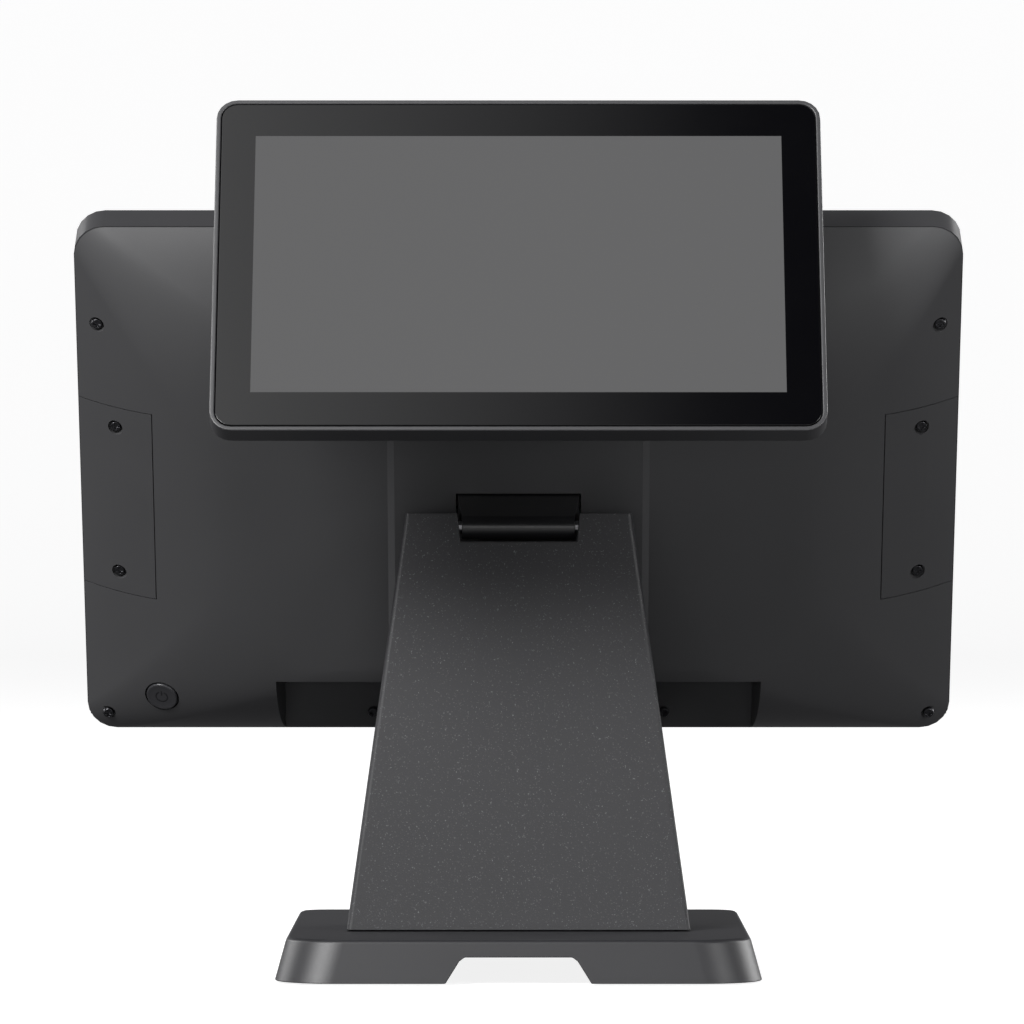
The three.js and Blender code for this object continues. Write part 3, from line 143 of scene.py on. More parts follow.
def block(x0, x1, y0, y1, z0, z1, place=WORLD):
    only_nothing()
    bpy.ops.mesh.primitive_cube_add(size=1)
    middle = Matrix.Translation(((x0 + x1) / 2, (y0 + y1) / 2, (z0 + z1) / 2))
    return named("tool_block", place, middle @ Matrix.Diagonal((x1 - x0, y1 - y0, z1 - z0, 1)))


TURNS = {
    "x": Matrix.Rotation(math.pi / 2, 4, "Y"),
    "y": Matrix.Rotation(-math.pi / 2, 4, "X"),
    "z": Matrix.Identity(4),
}


def bar(axis, radius, start, end, centre, place=WORLD, sides=32):
    only_nothing()
    bpy.ops.mesh.primitive_cylinder_add(vertices=sides, radius=radius, depth=end - start)
    shift = Vector(centre)
    shift["xyz".index(axis)] = (start + end) / 2
    return named("tool_bar", place, Matrix.Translation(shift) @ TURNS[axis])


def only_nothing():
    if bpy.context.object and bpy.context.object.mode != "OBJECT":
        bpy.ops.object.mode_set(mode="OBJECT")
    bpy.ops.object.select_all(action="DESELECT")


def skin(name, rings, place=WORLD):
    """A closed form extruded from a flat outline, ring after ring. All have the same count."""
    only_nothing()
    count = len(rings[0])
    bpy.ops.mesh.primitive_circle_add(vertices=count, radius=1, fill_type="NGON")
    piece = named(name)
    bpy.ops.object.mode_set(mode="EDIT")
    bpy.ops.mesh.select_mode(type="FACE")
    laid = None
    for ring in rings:
        if laid:
            bpy.ops.mesh.extrude_region()
        shape = bmesh.from_edit_mesh(piece.data)
        face = next(f for f in shape.faces if f.select)
        corners = list(face.verts)
        if laid:
            order = [min(range(count), key=lambda i: (v.co - laid[i]).length_squared) for v in corners]
        else:
            order = range(count)
        ring = [place @ Vector(point) for point in ring]
        for v, i in zip(corners, order):
            v.co = ring[i]
        laid = ring
        bmesh.update_edit_mesh(piece.data)
    bpy.ops.mesh.select_all(action="SELECT")
    bpy.ops.mesh.normals_make_consistent(inside=False)
    bpy.ops.object.mode_set(mode="OBJECT")
    return piece


def apply_modifier(piece, kind, **settings):
    only(piece)
    modifier = piece.modifiers.new(kind.lower(), kind)
    for key, value in settings.items():
        setattr(modifier, key, value)
    bpy.ops.object.modifier_apply(modifier=modifier.name)


def with_tools(piece, operation, tools):
    for tool in tools:
        apply_modifier(piece, "BOOLEAN", operation=operation, object=tool, solver="MANIFOLD")
        bpy.data.objects.remove(tool)
    return piece


def cut(piece, *tools):
    return with_tools(piece, "DIFFERENCE", tools)


def join(piece, *others):
    return with_tools(piece, "UNION", others)


def clip(piece, *limits):
    return with_tools(piece, "INTERSECT", limits)


def tidy_mesh(piece, merge):
    only(piece)
    bpy.ops.object.mode_set(mode="EDIT")
    bpy.ops.mesh.select_all(action="SELECT")
    bpy.ops.mesh.remove_doubles(threshold=merge)
    bpy.ops.mesh.dissolve_limited(angle_limit=math.radians(FLAT_ANGLE))
    bpy.ops.object.mode_set(mode="OBJECT")


def soft_edges(piece, width, segments, angle):
    apply_modifier(
        piece, "BEVEL", width=width, segments=segments, limit_method="ANGLE",
        angle_limit=math.radians(angle), use_clamp_overlap=True, harden_normals=False)


def smooth(piece):
    only(piece)
    bpy.ops.object.shade_smooth_by_angle(angle=math.radians(SMOOTH_ANGLE))
    apply_modifier(piece, "WEIGHTED_NORMAL", keep_sharp=True, weight=60)


def finish(piece, node):
    """Places a finished piece in the model: its body, what it stands for, its slot and its look."""
    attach(piece, BODY_OF[node])
    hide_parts(node)
    slot = SLOT_OF[node]
    piece.data.materials.clear()
    piece.data.materials.append(FINISHES[slot])


def copy_of(node, name):
    source = NODES[node]
    piece = source.copy()
    piece.data = source.data.copy()
    piece.parent = None
    for key in list(piece.keys()):
        del piece[key]
    bpy.context.scene.collection.objects.link(piece)
    piece.name = name
    piece.data.name = name
    return piece


def rounded_copy(node, width, segments):
    """The CAD shape with its seams merged and its edges rounded."""
    piece = copy_of(node, f"{node}_finished")
    tidy_mesh(piece, SEAM)
    soft_edges(piece, width, segments, SMOOTH_ANGLE)
    smooth(piece)
    finish(piece, node)


def rounded_outline(left, right, bottom, top, radius, steps=10):
    """Outline with round corners, counter-clockwise from the right top corner."""
    points = []
    corners = [(right, top, -1, -1), (left, top, 1, -1), (left, bottom, 1, 1), (right, bottom, -1, 1)]
    for i, (x, y, in_x, in_y) in enumerate(corners):
        for k in range(steps + 1):
            angle = (i + k / steps) * math.pi / 2
            points.append((
                x + in_x * radius + radius * math.cos(angle),
                y + in_y * radius + radius * math.sin(angle)))
    return points


def arc_inset(rise, slope, height, skin_depth):
    """How far a dome's arc has come in from the rim at a height above it."""
    radius = rise / (1 - math.cos(slope))
    drop = radius * math.cos(slope)
    reach = math.sqrt(max((radius - skin_depth) ** 2 - (height + drop) ** 2, 0))
    return radius * math.sin(slope) - reach


def dome(place, size, way, rim_y, skin_depth=0.0, steps=16, corner_steps=10):
    """A pillow with round corners that bulges along one way of Y from its rim."""
    left, right, bottom, top, corner, rise, slope, foot_slope = size
    rings = []
    for k in range(steps + 1):
        lift = (rise - skin_depth) * math.sin(k / steps * math.pi / 2)
        side = arc_inset(rise, slope, lift, skin_depth)
        foot = arc_inset(rise, foot_slope, lift, skin_depth)
        outline = rounded_outline(
            left + side, right - side, bottom + foot, top - side,
            corner + CORNER_SOFTNESS * max(side, 0), corner_steps)
        rings.append([(x, rim_y + way * lift, z) for x, z in outline])
    return skin("dome", rings, place)


HEAD_DOME = (-HALF_WIDTH, HALF_WIDTH, HEAD_BOTTOM, HEAD_TOP, HEAD_CORNER, DOME_RISE,
             DOME_SLOPE, DOME_FOOT_SLOPE)


def head_dome(skin_depth=0.0):
    return dome(HEAD, HEAD_DOME, -1, RIM_Y, skin_depth)


def outside_dome(x, z, lift):
    side = arc_inset(DOME_RISE, DOME_SLOPE, lift, 0)
    foot = arc_inset(DOME_RISE, DOME_FOOT_SLOPE, lift, 0)
    radius = HEAD_CORNER + CORNER_SOFTNESS * side
    past_side = abs(x) - (HALF_WIDTH - side - radius)
    past_end = max(z - (HEAD_TOP - side - radius), HEAD_BOTTOM + foot + radius - z)
    return math.hypot(max(past_side, 0), max(past_end, 0)) - radius


def surface_y(x, z):
    """Where the dome's outer surface lies at a place on the head."""
    low, high = 0.0, DOME_RISE
    for _ in range(30):
        middle = (low + high) / 2
        if outside_dome(x, z, middle) > 0:
            high = middle
        else:
            low = middle
    return RIM_Y - low


def prism_z(name, outline, low, high, place=HEAD):
    """An outline in X and Y, made solid between two heights."""
    return skin(name, [[(x, y, z) for x, y in outline] for z in (low, high)], place)


def bay_tool(grow):
    mouth = BAY_HALF + grow
    floor = mouth - BAY_DRAFT
    floor_y = BAY_FLOOR_Y + (2 * MM if grow > 0 else 0)
    back = SPINE_Y - 2 * MM
    outline = [(-mouth, back), (mouth, back), (floor, floor_y), (-floor, floor_y)]
    return prism_z("tool_bay", outline, HEAD_BOTTOM - 2 * MM, BAY_CEILING + grow)


def spine_form():
    wide, narrow = SPINE_HALF + SPINE_RISE, SPINE_HALF
    cover_y = RIM_Y - FIT
    back = SPINE_Y - PAST
    narrow -= PAST
    outline = [(-narrow, back), (narrow, back), (wide, SPINE_Y + SPINE_RISE), (wide, cover_y - PAST),
               (-wide, cover_y - PAST), (-wide, SPINE_Y + SPINE_RISE)]
    prism = prism_z("tool_spine", outline, BAY_CEILING - PAST, HEAD_TOP - SPINE_TOP_MARGIN)
    return clip(prism, head_dome(-SPINE_RISE))


SIDE_LOW, SIDE_HIGH = box_in(HEAD, "side_cover_right")
SIDE_COVER_INNER = SIDE_LOW.x - SHADOW_GAP
SIDE_MIDDLE = (SIDE_LOW.z + SIDE_HIGH.z) / 2
SIDE_HALF = (SIDE_HIGH.z - SIDE_LOW.z) / 2 + SHADOW_GAP
SIDE_PORT = (9 * MM, 17 * MM)
SIDE_SCREW_X = HALF_WIDTH - 16.5 * MM


def side_pocket(way, grow):
    inner, outer = way * (SIDE_COVER_INNER - grow), way * (HALF_WIDTH + 2 * MM)
    return block(
        min(inner, outer), max(inner, outer), SPINE_Y - 2 * MM, RIM_Y + 2 * MM,
        SIDE_MIDDLE - SIDE_HALF - grow, SIDE_MIDDLE + SIDE_HALF + grow, HEAD)


def screw_places(kind):
    """Where the heads of one kind of screw lie, in the head's frame."""
    places = []
    for node in sorted(NODES):
        if node.startswith(kind):
            low, high = box_in(HEAD, node)
            places.append(((low.x + high.x) / 2, low.y, (low.z + high.z) / 2))
    return places


BUTTON_AXIS = Vector(JOINTS["power_press"]["axis"])
BUTTON_PLACE = (-157.5 * MM, HEAD_BOTTOM + 24.3 * MM)
BUTTON_RADIUS = 7 * MM
BUTTON_RELIEF = 0.4 * MM
FLANGE = 1.4 * MM                  # keeps the button in its bore


def button_frame():
    """The button's frame: on the cover's surface, +Y running into the head."""
    x, z = BUTTON_PLACE
    origin = HEAD @ Vector((x, surface_y(x, z), z))
    inward = (HEAD.to_3x3().inverted() @ BUTTON_AXIS).normalized()
    turn = Vector((0, 1, 0)).rotation_difference(inward).to_matrix()
    return Matrix.Translation(origin) @ HEAD.to_3x3().to_4x4() @ turn.to_4x4()


BUTTON = button_frame()


# ---------------------------------------------------------------- rear cover
def head_bar(radius, start, end, x, z, sides=32):
    """A bar along the head's Y."""
    return bar("y", radius, start, end, (x, 0, z), HEAD, sides)


def behind_rim():
    return block(-FAR, FAR, -FAR, RIM_Y - FIT, -FAR, FAR, HEAD)


def pocket_under_side_cover(way):
    cover = cut(side_pocket(way, 0), head_dome(SIDE_COVER_WALL + FIT))
    port_x = way * (SIDE_SCREW_X + 1 * MM)
    port = block(
        port_x - SIDE_PORT[0], port_x + SIDE_PORT[0], 0, RIM_Y + 2 * MM,
        SIDE_MIDDLE - SIDE_PORT[1], SIDE_MIDDLE + SIDE_PORT[1], HEAD)
    return cover, port


def hollow_of_cover():
    hollow = cut(head_dome(COVER_WALL), bay_tool(COVER_WALL))
    for way in (-1, 1):
        floor = head_dome(SIDE_COVER_WALL + FIT + COVER_WALL)
        hollow = cut(hollow, cut(side_pocket(way, COVER_WALL), floor))
    return hollow


def with_side_screw_posts(cover):
    """Posts under the flank covers, hollow where the flank covers' own cups reach in."""
    cup = CUP_RADIUS + FIT
    for x, _, z in screw_places("side_screw"):
        surface = surface_y(x, z)
        post = clip(
            head_bar(cup + POST_WALL, surface, RIM_Y - 2 * FIT, x, z),
            head_dome(SIDE_COVER_WALL + FIT + UNDER_SKIN))
        cover = cut(
            join(cover, post),
            head_bar(cup, surface - TOOL_LEAD, surface + CUP_DEPTH + FIT, x, z),
            head_bar(SCREW_BORE, surface, RIM_Y - 2 * FIT - POST_FLOOR, x, z, BORE_SIDES))
    return cover


def with_case_screw_posts(cover):
    """Posts with sunk seats; in the bay the screws only need holes in its floor."""
    seat = RIM_Y - SEAT_DEPTH
    for x, _, z in screw_places("case_screw"):
        if abs(x) < BAY_HALF:
            cover = cut(cover, head_bar(
                SCREW_BORE, BAY_FLOOR_Y - 1 * MM, RIM_Y + 1 * MM, x, z, BORE_SIDES))
            continue
        post = clip(
            head_bar(POCKET + POST_WALL, seat - POST_ABOVE_SEAT, RIM_Y - 2 * FIT, x, z),
            head_dome(UNDER_SKIN))
        cover = cut(
            join(cover, post),
            head_bar(POCKET, seat - 2 * TOOL_LEAD, seat, x, z),
            head_bar(SCREW_BORE, seat - POST_FLOOR, RIM_Y, x, z, BORE_SIDES))
    return cover


def with_openings(cover):
    """The sockets' window in the bay's roof, the hinge cover's slot and the button's bore."""
    window_low, window_high = box_in(HEAD, "io_bracket")
    window_half = window_high.x - WINDOW_LAND
    cover = cut(cover, block(
        -window_half, window_half, window_low.y + 2 * MM, window_high.y,
        BAY_CEILING - 1 * MM, window_low.z, HEAD))
    _, nose_high = box_in(HEAD, "hinge_cover")
    slot_half = nose_high.x + RUN
    nose = nose_high.z + RUN
    cover = cut(cover, block(
        -slot_half, slot_half, SPINE_Y - 1 * MM, SPINE_Y + SLOT_DEPTH, -nose, nose, HEAD))
    middle = (0, 0, 0)
    bore = BUTTON_RADIUS + SHADOW_GAP + BUTTON_RELIEF
    counterbore = BUTTON_RADIUS + FLANGE + BUTTON_RELIEF
    return cut(
        cover,
        bar("y", bore, -6 * MM, COVER_WALL + 4 * MM, middle, BUTTON, 48),
        bar("y", counterbore, COVER_WALL, COVER_WALL + 10 * MM, middle, BUTTON, 48))


def rear_cover():
    hollow = hollow_of_cover()
    cover = cut(join(head_dome(), spine_form()), bay_tool(0), hollow)
    for way in (-1, 1):
        cover = cut(cover, *pocket_under_side_cover(way))
    cover = with_openings(with_case_screw_posts(with_side_screw_posts(cover)))
    cover = clip(cover, behind_rim())
    cover.name = "rear_shell"
    cover.data.name = "rear_shell"
    return cover


def side_cover(way, side):
    patch = cut(head_dome(), head_dome(SIDE_COVER_WALL))
    cover = clip(patch, side_pocket(way, -SHADOW_GAP), behind_rim())
    for x, _, z in screw_places("side_screw"):
        if x * way < 0:
            continue
        surface = surface_y(x, z)
        cup = clip(
            head_bar(CUP_RADIUS, surface - TOOL_LEAD, surface + CUP_DEPTH, x, z),
            head_dome(UNDER_SKIN))
        cover = cut(
            join(cover, cup),
            head_bar(POCKET, surface - 12 * MM, surface + SUNK, x, z),
            head_bar(SCREW_BORE, surface, surface + CUP_DEPTH + 1 * MM, x, z, BORE_SIDES))
    cover.name = f"side_flap_{side}"
    cover.data.name = cover.name
    return cover


# ---------------------------------------------------------------- second display's rear cover
SECOND_CORNER = 9 * MM
SECOND_SLOPE = math.radians(50)
SECOND_WALL = 2.2 * MM
CABLE_HOLE = 5 * MM


def second_cover():
    rim_low, rim_high = box_in(SECOND, "second_frame")
    _, shell_high = box_in(SECOND, "second_rear_cover")
    rim_y = rim_high.y
    size = (rim_low.x, rim_high.x, rim_low.z, rim_high.z, SECOND_CORNER, shell_high.y - rim_y,
            SECOND_SLOPE, SECOND_SLOPE)
    cover = cut(dome(SECOND, size, 1, rim_y), dome(SECOND, size, 1, rim_y, SECOND_WALL))
    cover = clip(cover, block(-FAR, FAR, rim_y + FIT, FAR, -FAR, FAR, SECOND))
    middle = (rim_low.z + rim_high.z) / 2
    cable_hole = bar("y", CABLE_HOLE, shell_high.y - 6 * MM, FAR, (0, 0, middle), SECOND)
    cover = cut(cover, cable_hole)
    cover.name = "second_shell"
    cover.data.name = "second_shell"
    return cover


# ---------------------------------------------------------------- power button
def power_button():
    wall, bevel, proud, stem, sides = COVER_WALL + FIT, 0.6 * MM, 0.4 * MM, 1.5 * MM, 64
    crown = BUTTON_RADIUS - bevel
    steps = [(crown - 2.2 * MM, -proud + 0.25 * MM), (crown - 0.8 * MM, -proud)]
    for k in range(6):
        angle = k / 5 * math.pi / 2
        steps.append((crown + bevel * math.sin(angle), -proud + bevel * (1 - math.cos(angle))))
    steps += [
        (BUTTON_RADIUS, wall), (BUTTON_RADIUS + FLANGE, wall),
        (BUTTON_RADIUS + FLANGE, wall + FLANGE), (stem, wall + FLANGE), (stem, wall + 3 * MM)]
    rings = [[
        (radius * math.cos(i / sides * 2 * math.pi), y, radius * math.sin(i / sides * 2 * math.pi))
        for i in range(sides)] for radius, y in steps]
    return skin("power_key", rings, BUTTON)


# ---------------------------------------------------------------- finishes
class Value:
    """A number from a socket; sums on it add Math nodes."""

    def __init__(self, finish, socket):
        self.finish, self.socket = finish, socket

    def math(self, operation, *others):
        return self.finish.add("ShaderNodeMath", {"operation": operation}, (self, *others))

    def __add__(self, other):
        return self.math("ADD", other)

    def __sub__(self, other):
        return self.math("SUBTRACT", other)

    def __mul__(self, other):
        return self.math("MULTIPLY", other)

    def __gt__(self, other):
        return self.math("GREATER_THAN", other)

    def __lt__(self, other):
        return self.math("LESS_THAN", other)

    def __abs__(self):
        return self.math("ABSOLUTE")

    def __rmul__(self, other):
        return self * other

    def __rsub__(self, other):
        return self * -1 + other

    def clamped(self):
        return self.math("MAXIMUM", 0.0).math("MINIMUM", 1.0)


class Finish:
    """One material: a Principled shader and whatever varies on it."""

    def __init__(self, name, **shader):
        self.material = bpy.data.materials.new(name)
        self.material.use_nodes = True
        self.tree = self.material.node_tree
        self.shader = self.tree.nodes["Principled BSDF"]
        for key, value in shader.items():
            self.set(key.replace("_", " "), value)

    def set(self, name, value):
        socket = self.shader.inputs[name]
        if isinstance(value, Value):
            self.tree.links.new(value.socket, socket)
        elif isinstance(value, tuple):
            socket.default_value = (*value, 1.0)
        else:
            socket.default_value = value

    def add(self, kind, settings=None, inputs=(), output=0):
        node = self.tree.nodes.new(kind)
        for key, value in (settings or {}).items():
            setattr(node, key, value)
        named_inputs = inputs.items() if isinstance(inputs, dict) else enumerate(inputs)
        for key, value in named_inputs:
            if isinstance(value, Value):
                self.tree.links.new(value.socket, node.inputs[key])
            else:
                node.inputs[key].default_value = value
        return Value(self, node.outputs[output])

    def place(self, local=WORLD):
        """Object coordinates, seen from a leaning frame."""
        back = local.inverted()
        point = self.add("ShaderNodeTexCoord", output="Object")
        return self.add("ShaderNodeMapping", inputs={
            "Vector": point, "Location": back.to_translation(), "Rotation": back.to_euler()})

    def noise(self, point, scale, detail=2.0, roughness=0.5):
        return self.add("ShaderNodeTexNoise", inputs={
            "Vector": point, "Scale": scale, "Detail": detail, "Roughness": roughness})

    def mix(self, factor, first, second):
        first, second = [(*c, 1.0) if isinstance(c, tuple) else c for c in (first, second)]
        sockets = {0: factor, 6: first, 7: second}
        return self.add("ShaderNodeMix", {"data_type": "RGBA"}, sockets, output=2)

    def axes(self, point):
        return [self.add("ShaderNodeSeparateXYZ", inputs=(point,), output=i) for i in range(3)]

    def blend(self, factor, **shader):
        """Mix a second Principled shader in by a factor."""
        other = self.tree.nodes.new("ShaderNodeBsdfPrincipled")
        for key, value in shader.items():
            value = (*value, 1.0) if isinstance(value, tuple) else value
            other.inputs[key.replace("_", " ")].default_value = value
        mixer = self.tree.nodes.new("ShaderNodeMixShader")
        self.tree.links.new(factor.socket, mixer.inputs[0])
        self.tree.links.new(self.shader.outputs[0], mixer.inputs[1])
        self.tree.links.new(other.outputs[0], mixer.inputs[2])
        self.tree.links.new(mixer.outputs[0], self.tree.nodes["Material Output"].inputs["Surface"])

    def bump(self, height, strength, distance):
        self.set("Normal", self.add("ShaderNodeBump", inputs={
            "Strength": strength, "Distance": distance, "Height": height}))


def scaled(color, by):
    return tuple(channel * by for channel in color)


def moulded(name, color, roughness, grain=1600, strength=0.12, spread=0.06, **shader):
    """Moulded plastic or paint: fine grain, a little wear in gloss and tone."""
    finish_ = Finish(name, **shader)
    point = finish_.place()
    fine = finish_.noise(point, grain, 3.0, 0.6)
    broad = finish_.noise(point, 22, 2.0)
    finish_.set("Base Color", finish_.mix(broad, scaled(color, 0.94), scaled(color, 1.06)))
    finish_.set("Roughness", fine * spread + broad * spread * 0.5 + (roughness - spread * 0.75))
    finish_.bump(fine, strength, 0.0002)
    return finish_.material


def speckled(name, color, fleck, roughness, amount=0.62, size=1300):
    """Powder coat with fine light flecks."""
    finish_ = Finish(name, Specular_IOR_Level=0.4)
    point = finish_.place()
    fine = finish_.noise(point, size, 2.0, 0.7)
    broad = finish_.noise(point, 14, 2.0)
    flecks = ((fine - amount) * 9).clamped()
    base = finish_.mix(broad, scaled(color, 0.92), scaled(color, 1.08))
    finish_.set("Base Color", finish_.mix(flecks, base, fleck))
    finish_.set("Roughness", fine * 0.2 + (roughness - 0.1))
    finish_.bump(fine, 0.35, 0.0003)
    return finish_.material


def metal(name, color, roughness, stretch=(1, 1, 1), scale=420):
    finish_ = Finish(name, Metallic=1.0)
    point = finish_.place()
    stretched = finish_.add("ShaderNodeVectorMath", {"operation": "MULTIPLY"}, (point, stretch))
    streaks = finish_.noise(stretched, scale, 3.0, 0.6)
    finish_.set("Base Color", finish_.mix(streaks, scaled(color, 0.88), scaled(color, 1.08)))
    finish_.set("Roughness", streaks * 0.14 + (roughness - 0.07))
    finish_.bump(streaks, 0.08, 0.0001)
    return finish_.material


def panel_glass(name, place, picture, border, shown, glow, roughness):
    """Black-backed glass over a picture area; picture is its centre height and half sizes."""
    middle, half_x, half_z = picture
    finish_ = Finish(name, Specular_IOR_Level=0.5)
    point = finish_.place(place)
    x, _, z = finish_.axes(point)
    mask = (abs(x) < half_x) * (abs(z - middle) < half_z)
    smudge = finish_.noise(finish_.place(), 30, 3.0, 0.6)
    finish_.set("Base Color", finish_.mix(mask, border, shown))
    finish_.set("Roughness", smudge * 0.05 + mask * roughness[1] + roughness[0])
    if glow:
        finish_.blend(mask, Base_Color=shown, Roughness=0.8, Specular_IOR_Level=0.0,
                      Emission_Color=glow, Emission_Strength=1.0)
    return finish_.material


def board(name):
    finish_ = Finish(name)
    point = finish_.place(HEAD)
    traces = finish_.add(
        "ShaderNodeTexVoronoi", {"feature": "DISTANCE_TO_EDGE"}, {"Vector": point, "Scale": 260.0})
    lines = traces < 0.06
    finish_.set("Base Color", finish_.mix(lines, (0.012, 0.085, 0.045), (0.03, 0.16, 0.09)))
    finish_.set("Roughness", lines * 0.1 + 0.38)
    return finish_.material


def power_mark(name, color, ink):
    """Satin key with a plain ring and bar printed on it."""
    finish_ = Finish(name)
    point = finish_.place(BUTTON)
    x, _, z = finish_.axes(point)
    radius = (x * x + z * z).math("SQRT")
    ring = (abs(radius - 2.6 * MM) < 0.32 * MM) * (1 - (abs(x) < 1.0 * MM) * (z > 0.0))
    stroke = (abs(x) < 0.32 * MM) * (z > 0.7 * MM) * (z < 3.2 * MM)
    mark = ring.math("MAXIMUM", stroke)
    fine = finish_.noise(finish_.place(), 1500, 2.0)
    finish_.set("Base Color", finish_.mix(mark, color, ink))
    finish_.set("Roughness", fine * 0.08 + 0.28)
    finish_.bump(fine, 0.06, 0.0001)
    return finish_.material


VIEW_MIDDLE = 3 * MM
SECOND_FRAME_LOW, SECOND_FRAME_HIGH = box_in(SECOND, "second_frame")
SECOND_MIDDLE = (SECOND_FRAME_LOW.z + SECOND_FRAME_HIGH.z) / 2

FINISHES = {
    "shell_plastic": moulded("moulded_shell", (0.046, 0.046, 0.048), 0.46),
    "cover_plastic": moulded("moulded_flap", (0.044, 0.044, 0.046), 0.48),
    "frame_plastic": moulded("rim_plastic", (0.032, 0.032, 0.034), 0.38, 1200, 0.06),
    "hinge_plastic": moulded("hinge_plastic", (0.009, 0.009, 0.01), 0.3, 1200, 0.05),
    "port_plastic": moulded("socket_plastic", (0.012, 0.012, 0.012), 0.45, 1400, 0.08),
    "neck_paint": speckled("neck_powder_coat", (0.018, 0.018, 0.02), (0.1, 0.1, 0.105), 0.55),
    "arm_paint": speckled("arm_powder_coat", (0.024, 0.024, 0.026), (0.07, 0.07, 0.074), 0.55),
    "base_paint": moulded("base_paint", (0.012, 0.012, 0.014), 0.46, 900, 0.12, 0.08),
    "foot_rubber": moulded("foot_rubber", (0.012, 0.012, 0.012), 0.8, 700, 0.2, 0.1),
    "base_steel": metal("zinc_plate", (0.42, 0.43, 0.44), 0.42, (1, 12, 1), 160),
    "hinge_steel": metal("hinge_steel", (0.5, 0.5, 0.52), 0.32, (12, 1, 1)),
    "port_metal": metal("socket_shell", (0.5, 0.5, 0.52), 0.3),
    "panel_metal": metal("panel_sheet", (0.55, 0.56, 0.57), 0.4, (1, 1, 10), 120),
    "sink_aluminium": metal("finned_aluminium", (0.6, 0.61, 0.62), 0.36, (1, 1, 8)),
    "dark_screw": metal("black_screw", (0.07, 0.07, 0.075), 0.34),
    "board_green": board("circuit_board"),
    "button_plastic": power_mark("key_with_mark", (0.03, 0.03, 0.033), (0.006, 0.006, 0.007)),
    "touch_glass": panel_glass(
        "touch_glass", HEAD, (VIEW_MIDDLE, 172.1 * MM, 96.8 * MM),
        (0.004, 0.004, 0.005), (0.009, 0.009, 0.011), None, (0.06, 0.0)),
    "second_glass": panel_glass(
        "second_glass", SECOND, (SECOND_MIDDLE, 111.35 * MM, 62.65 * MM),
        (0.0015, 0.0015, 0.002), (0.02, 0.02, 0.02), (0.095, 0.095, 0.097), (0.08, 0.0)),
}

# ---------------------------------------------------------------- the pieces
for node, piece in NODES.items():
    piece.data.materials.clear()
    piece.data.materials.append(FINISHES[SLOT_OF[node]])

NEW_PIECES = [(rear_cover(), "main_rear_cover", 0.35 * MM)]
NEW_PIECES.append((side_cover(-1, "left"), "side_cover_left", 0.3 * MM))
NEW_PIECES.append((side_cover(1, "right"), "side_cover_right", 0.3 * MM))
NEW_PIECES.append((second_cover(), "second_rear_cover", 0.3 * MM))
for piece, node, edge in NEW_PIECES:
    tidy_mesh(piece, TIDY)
    soft_edges(piece, edge, 2, COVER_EDGE_ANGLE)
    smooth(piece)
    finish(piece, node)
key = power_button()
smooth(key)
finish(key, "power_button")

# Millimetres of edge radius, and its segments.
ROUNDED = {
    "main_front_frame": (1.0, 3), "main_touch_glass": (0.3, 2), "second_frame": (0.7, 3),
    "second_glass": (0.25, 2), "neck_column": (0.5, 2), "neck_rear_cover": (0.5, 2),
    "base_casting": (0.7, 3), "base_plate": (0.3, 1), "hinge_cover": (0.6, 3),
    "second_arm": (0.6, 2), "second_hinge_plate": (0.5, 2), "second_hinge_pin": (0.4, 2),
    "io_bracket": (0.2, 1), "dc_jack": (0.25, 2), "drawer_port": (0.25, 2), "serial_port": (0.2, 1),
    "lan_jack": (0.25, 2), "usb_stack": (0.2, 1), "video_port": (0.2, 1),
}
for node, (width, segments) in ROUNDED.items():
    rounded_copy(node, width * MM, segments)
for node in sorted(NODES):
    if node.startswith("foot_"):
        rounded_copy(node, FOOT_EDGE, 2)
    elif "screw" in node:
        rounded_copy(node, SCREW_EDGE, 2)

# ---------------------------------------------------------------- studio
def studio_room():
    """Pale floor that curves up into pale walls all round. It lends the object no light."""
    floor_radius, curve, wall_height, sides = 6.0, 1.2, 8.0, 64
    path = [(0.5, 0.0), (3.0, 0.0), (floor_radius, 0.0)]
    for k in range(1, 9):
        angle = k / 8 * math.pi / 2
        path.append((floor_radius + curve * math.sin(angle), curve * (1 - math.cos(angle))))
    path.append((floor_radius + curve, wall_height))
    rings = [[
        (radius * math.cos(i / sides * 2 * math.pi), radius * math.sin(i / sides * 2 * math.pi), z)
        for i in range(sides)] for radius, z in path]
    piece = skin("studio_room", rings)
    only(piece)
    bpy.ops.object.shade_smooth()
    paper = Finish("studio_paper", Roughness=0.9, Specular_IOR_Level=0.0)
    tone = paper.noise(paper.place(), 3.0, 2.0)
    paper.set("Base Color", paper.mix(tone, (0.33, 0.33, 0.33), (0.35, 0.35, 0.35)))
    paper.set("Emission Color", (1.0, 1.0, 1.0))
    paper.set("Emission Strength", 0.86)
    piece.data.materials.append(paper.material)
    piece.visible_diffuse = False
    piece.visible_glossy = False
    piece.visible_shadow = False


def softbox(name, place, target, size, power, color=(1, 1, 1)):
    data = bpy.data.lights.new(name, "AREA")
    data.shape = "RECTANGLE"
    data.size, data.size_y = size
    data.energy = power
    data.color = color
    lamp = bpy.data.objects.new(name, data)
    bpy.context.scene.collection.objects.link(lamp)
    lamp.location = place
    lamp.rotation_mode = "QUATERNION"
    lamp.visible_camera = False
    lamp.rotation_quaternion = (Vector(target) - Vector(place)).to_track_quat("-Z", "Y")


def gloss_card(name, place, lean, size, glow):
    """A dim card that only glass and gloss see."""
    bpy.ops.object.select_all(action="DESELECT")
    bpy.ops.mesh.primitive_plane_add(size=size, location=place, rotation=(math.radians(lean), 0, 0))
    card = bpy.context.object
    card.name = name
    bpy.ops.object.transform_apply(location=True, rotation=True, scale=True)
    card.data.materials.append(glow.material)
    card.visible_camera = False
    card.visible_diffuse = False
    card.visible_shadow = False


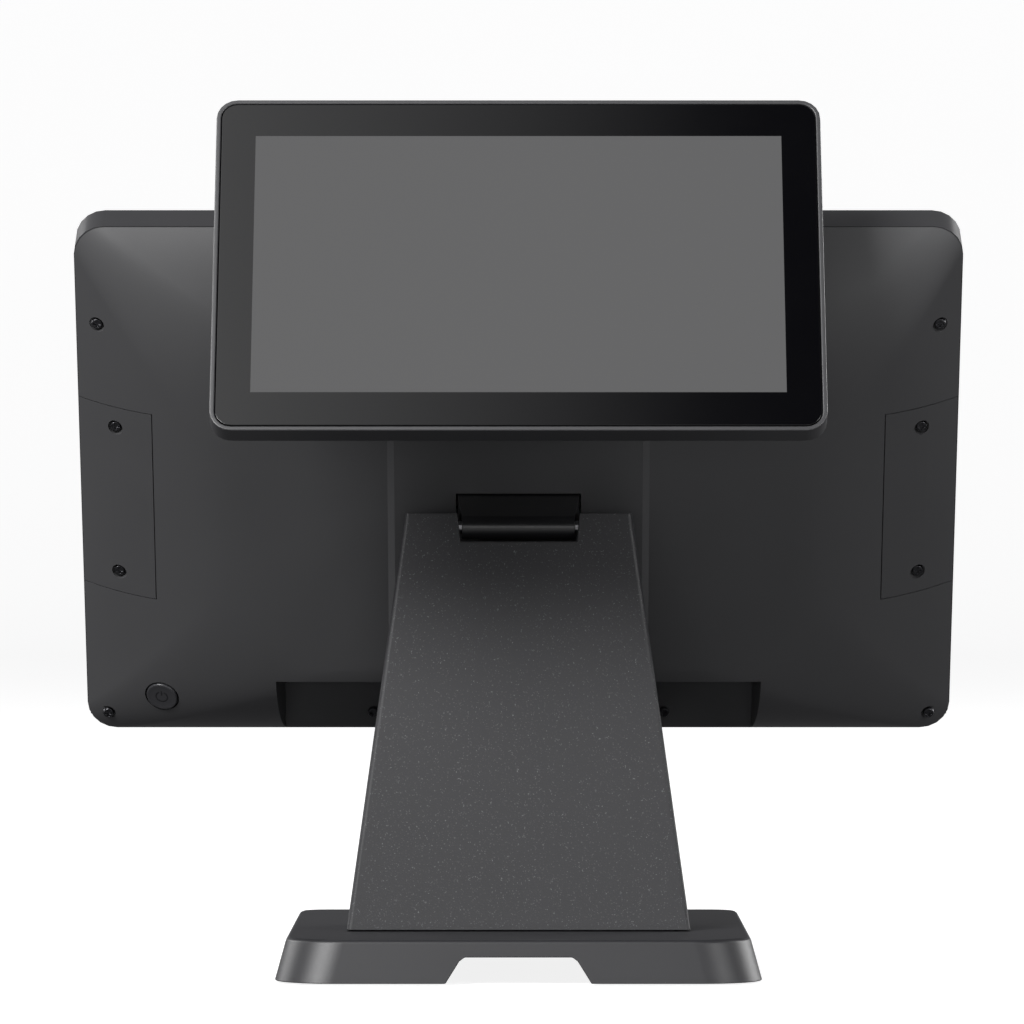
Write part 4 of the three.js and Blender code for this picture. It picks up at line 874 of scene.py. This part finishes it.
def sky_glow():
    """Brighter to the left, black on the right."""
    glow = Finish("sky_card_glow", Roughness=1.0, Specular_IOR_Level=0.0, Emission_Strength=3.6)
    x, _, _ = glow.axes(glow.place())
    fall = ((x - 0.15) * -1.0).clamped()
    glow.set("Base Color", (0.0, 0.0, 0.0))
    glow.set("Emission Color", glow.mix(fall, (0.0, 0.0, 0.0), (1.0, 1.0, 1.0)))
    return glow


def floor_glow():
    """The pale floor in front, fading with distance."""
    glow = Finish("floor_card_glow", Roughness=1.0, Specular_IOR_Level=0.0, Emission_Strength=0.6)
    _, y, _ = glow.axes(glow.place())
    fall = ((y + 3.4) * 0.5).clamped()
    glow.set("Base Color", (0.0, 0.0, 0.0))
    glow.set("Emission Color", glow.mix(fall, (0.0, 0.0, 0.0), (1.0, 1.0, 1.0)))
    return glow


studio_room()
MIDDLE = (0.0, 0.0, 0.2)
softbox("key_light", (-1.7, -2.1, 2.1), MIDDLE, (1.6, 1.2), 175)
softbox("fill_light", (2.3, -2.0, 1.3), MIDDLE, (1.4, 1.4), 52)
softbox("low_light", (-0.2, -3.2, 0.1), MIDDLE, (2.4, 0.8), 15)
softbox("back_light_left", (-2.4, 1.7, 1.3), MIDDLE, (1.4, 1.4), 45)
softbox("back_light_right", (2.4, 1.8, 1.1), MIDDLE, (1.4, 1.4), 55)
gloss_card("sky_card", (0.0, -1.55, 2.5), -32, 3.0, sky_glow())
gloss_card("floor_card", (0.0, -1.95, -0.01), 0, 3.2, floor_glow())
world = bpy.data.worlds.new("studio_air")
world.use_nodes = True
world.node_tree.nodes["Background"].inputs["Color"].default_value = (0.14, 0.14, 0.145, 1.0)
world.node_tree.nodes["Background"].inputs["Strength"].default_value = 1.0
bpy.context.scene.world = world
bpy.context.scene.view_settings.view_transform = "Standard"

LENS_MM = 242.6
SENSOR_MM = 36.0
EYE = (0.0, -2.980, 0.2026)
VIEW_SHIFT = (-0.00634765625, -0.01171875)
camera_data = bpy.data.cameras.new("camera")
camera_data.lens = LENS_MM
camera_data.sensor_width = SENSOR_MM
camera_data.shift_x, camera_data.shift_y = VIEW_SHIFT
camera_data.clip_end = 50.0
camera = bpy.data.objects.new("camera", camera_data)
bpy.context.scene.collection.objects.link(camera)
camera.location = EYE
camera.rotation_euler = (math.pi / 2, 0.0, 0.0)
bpy.context.scene.camera = camera
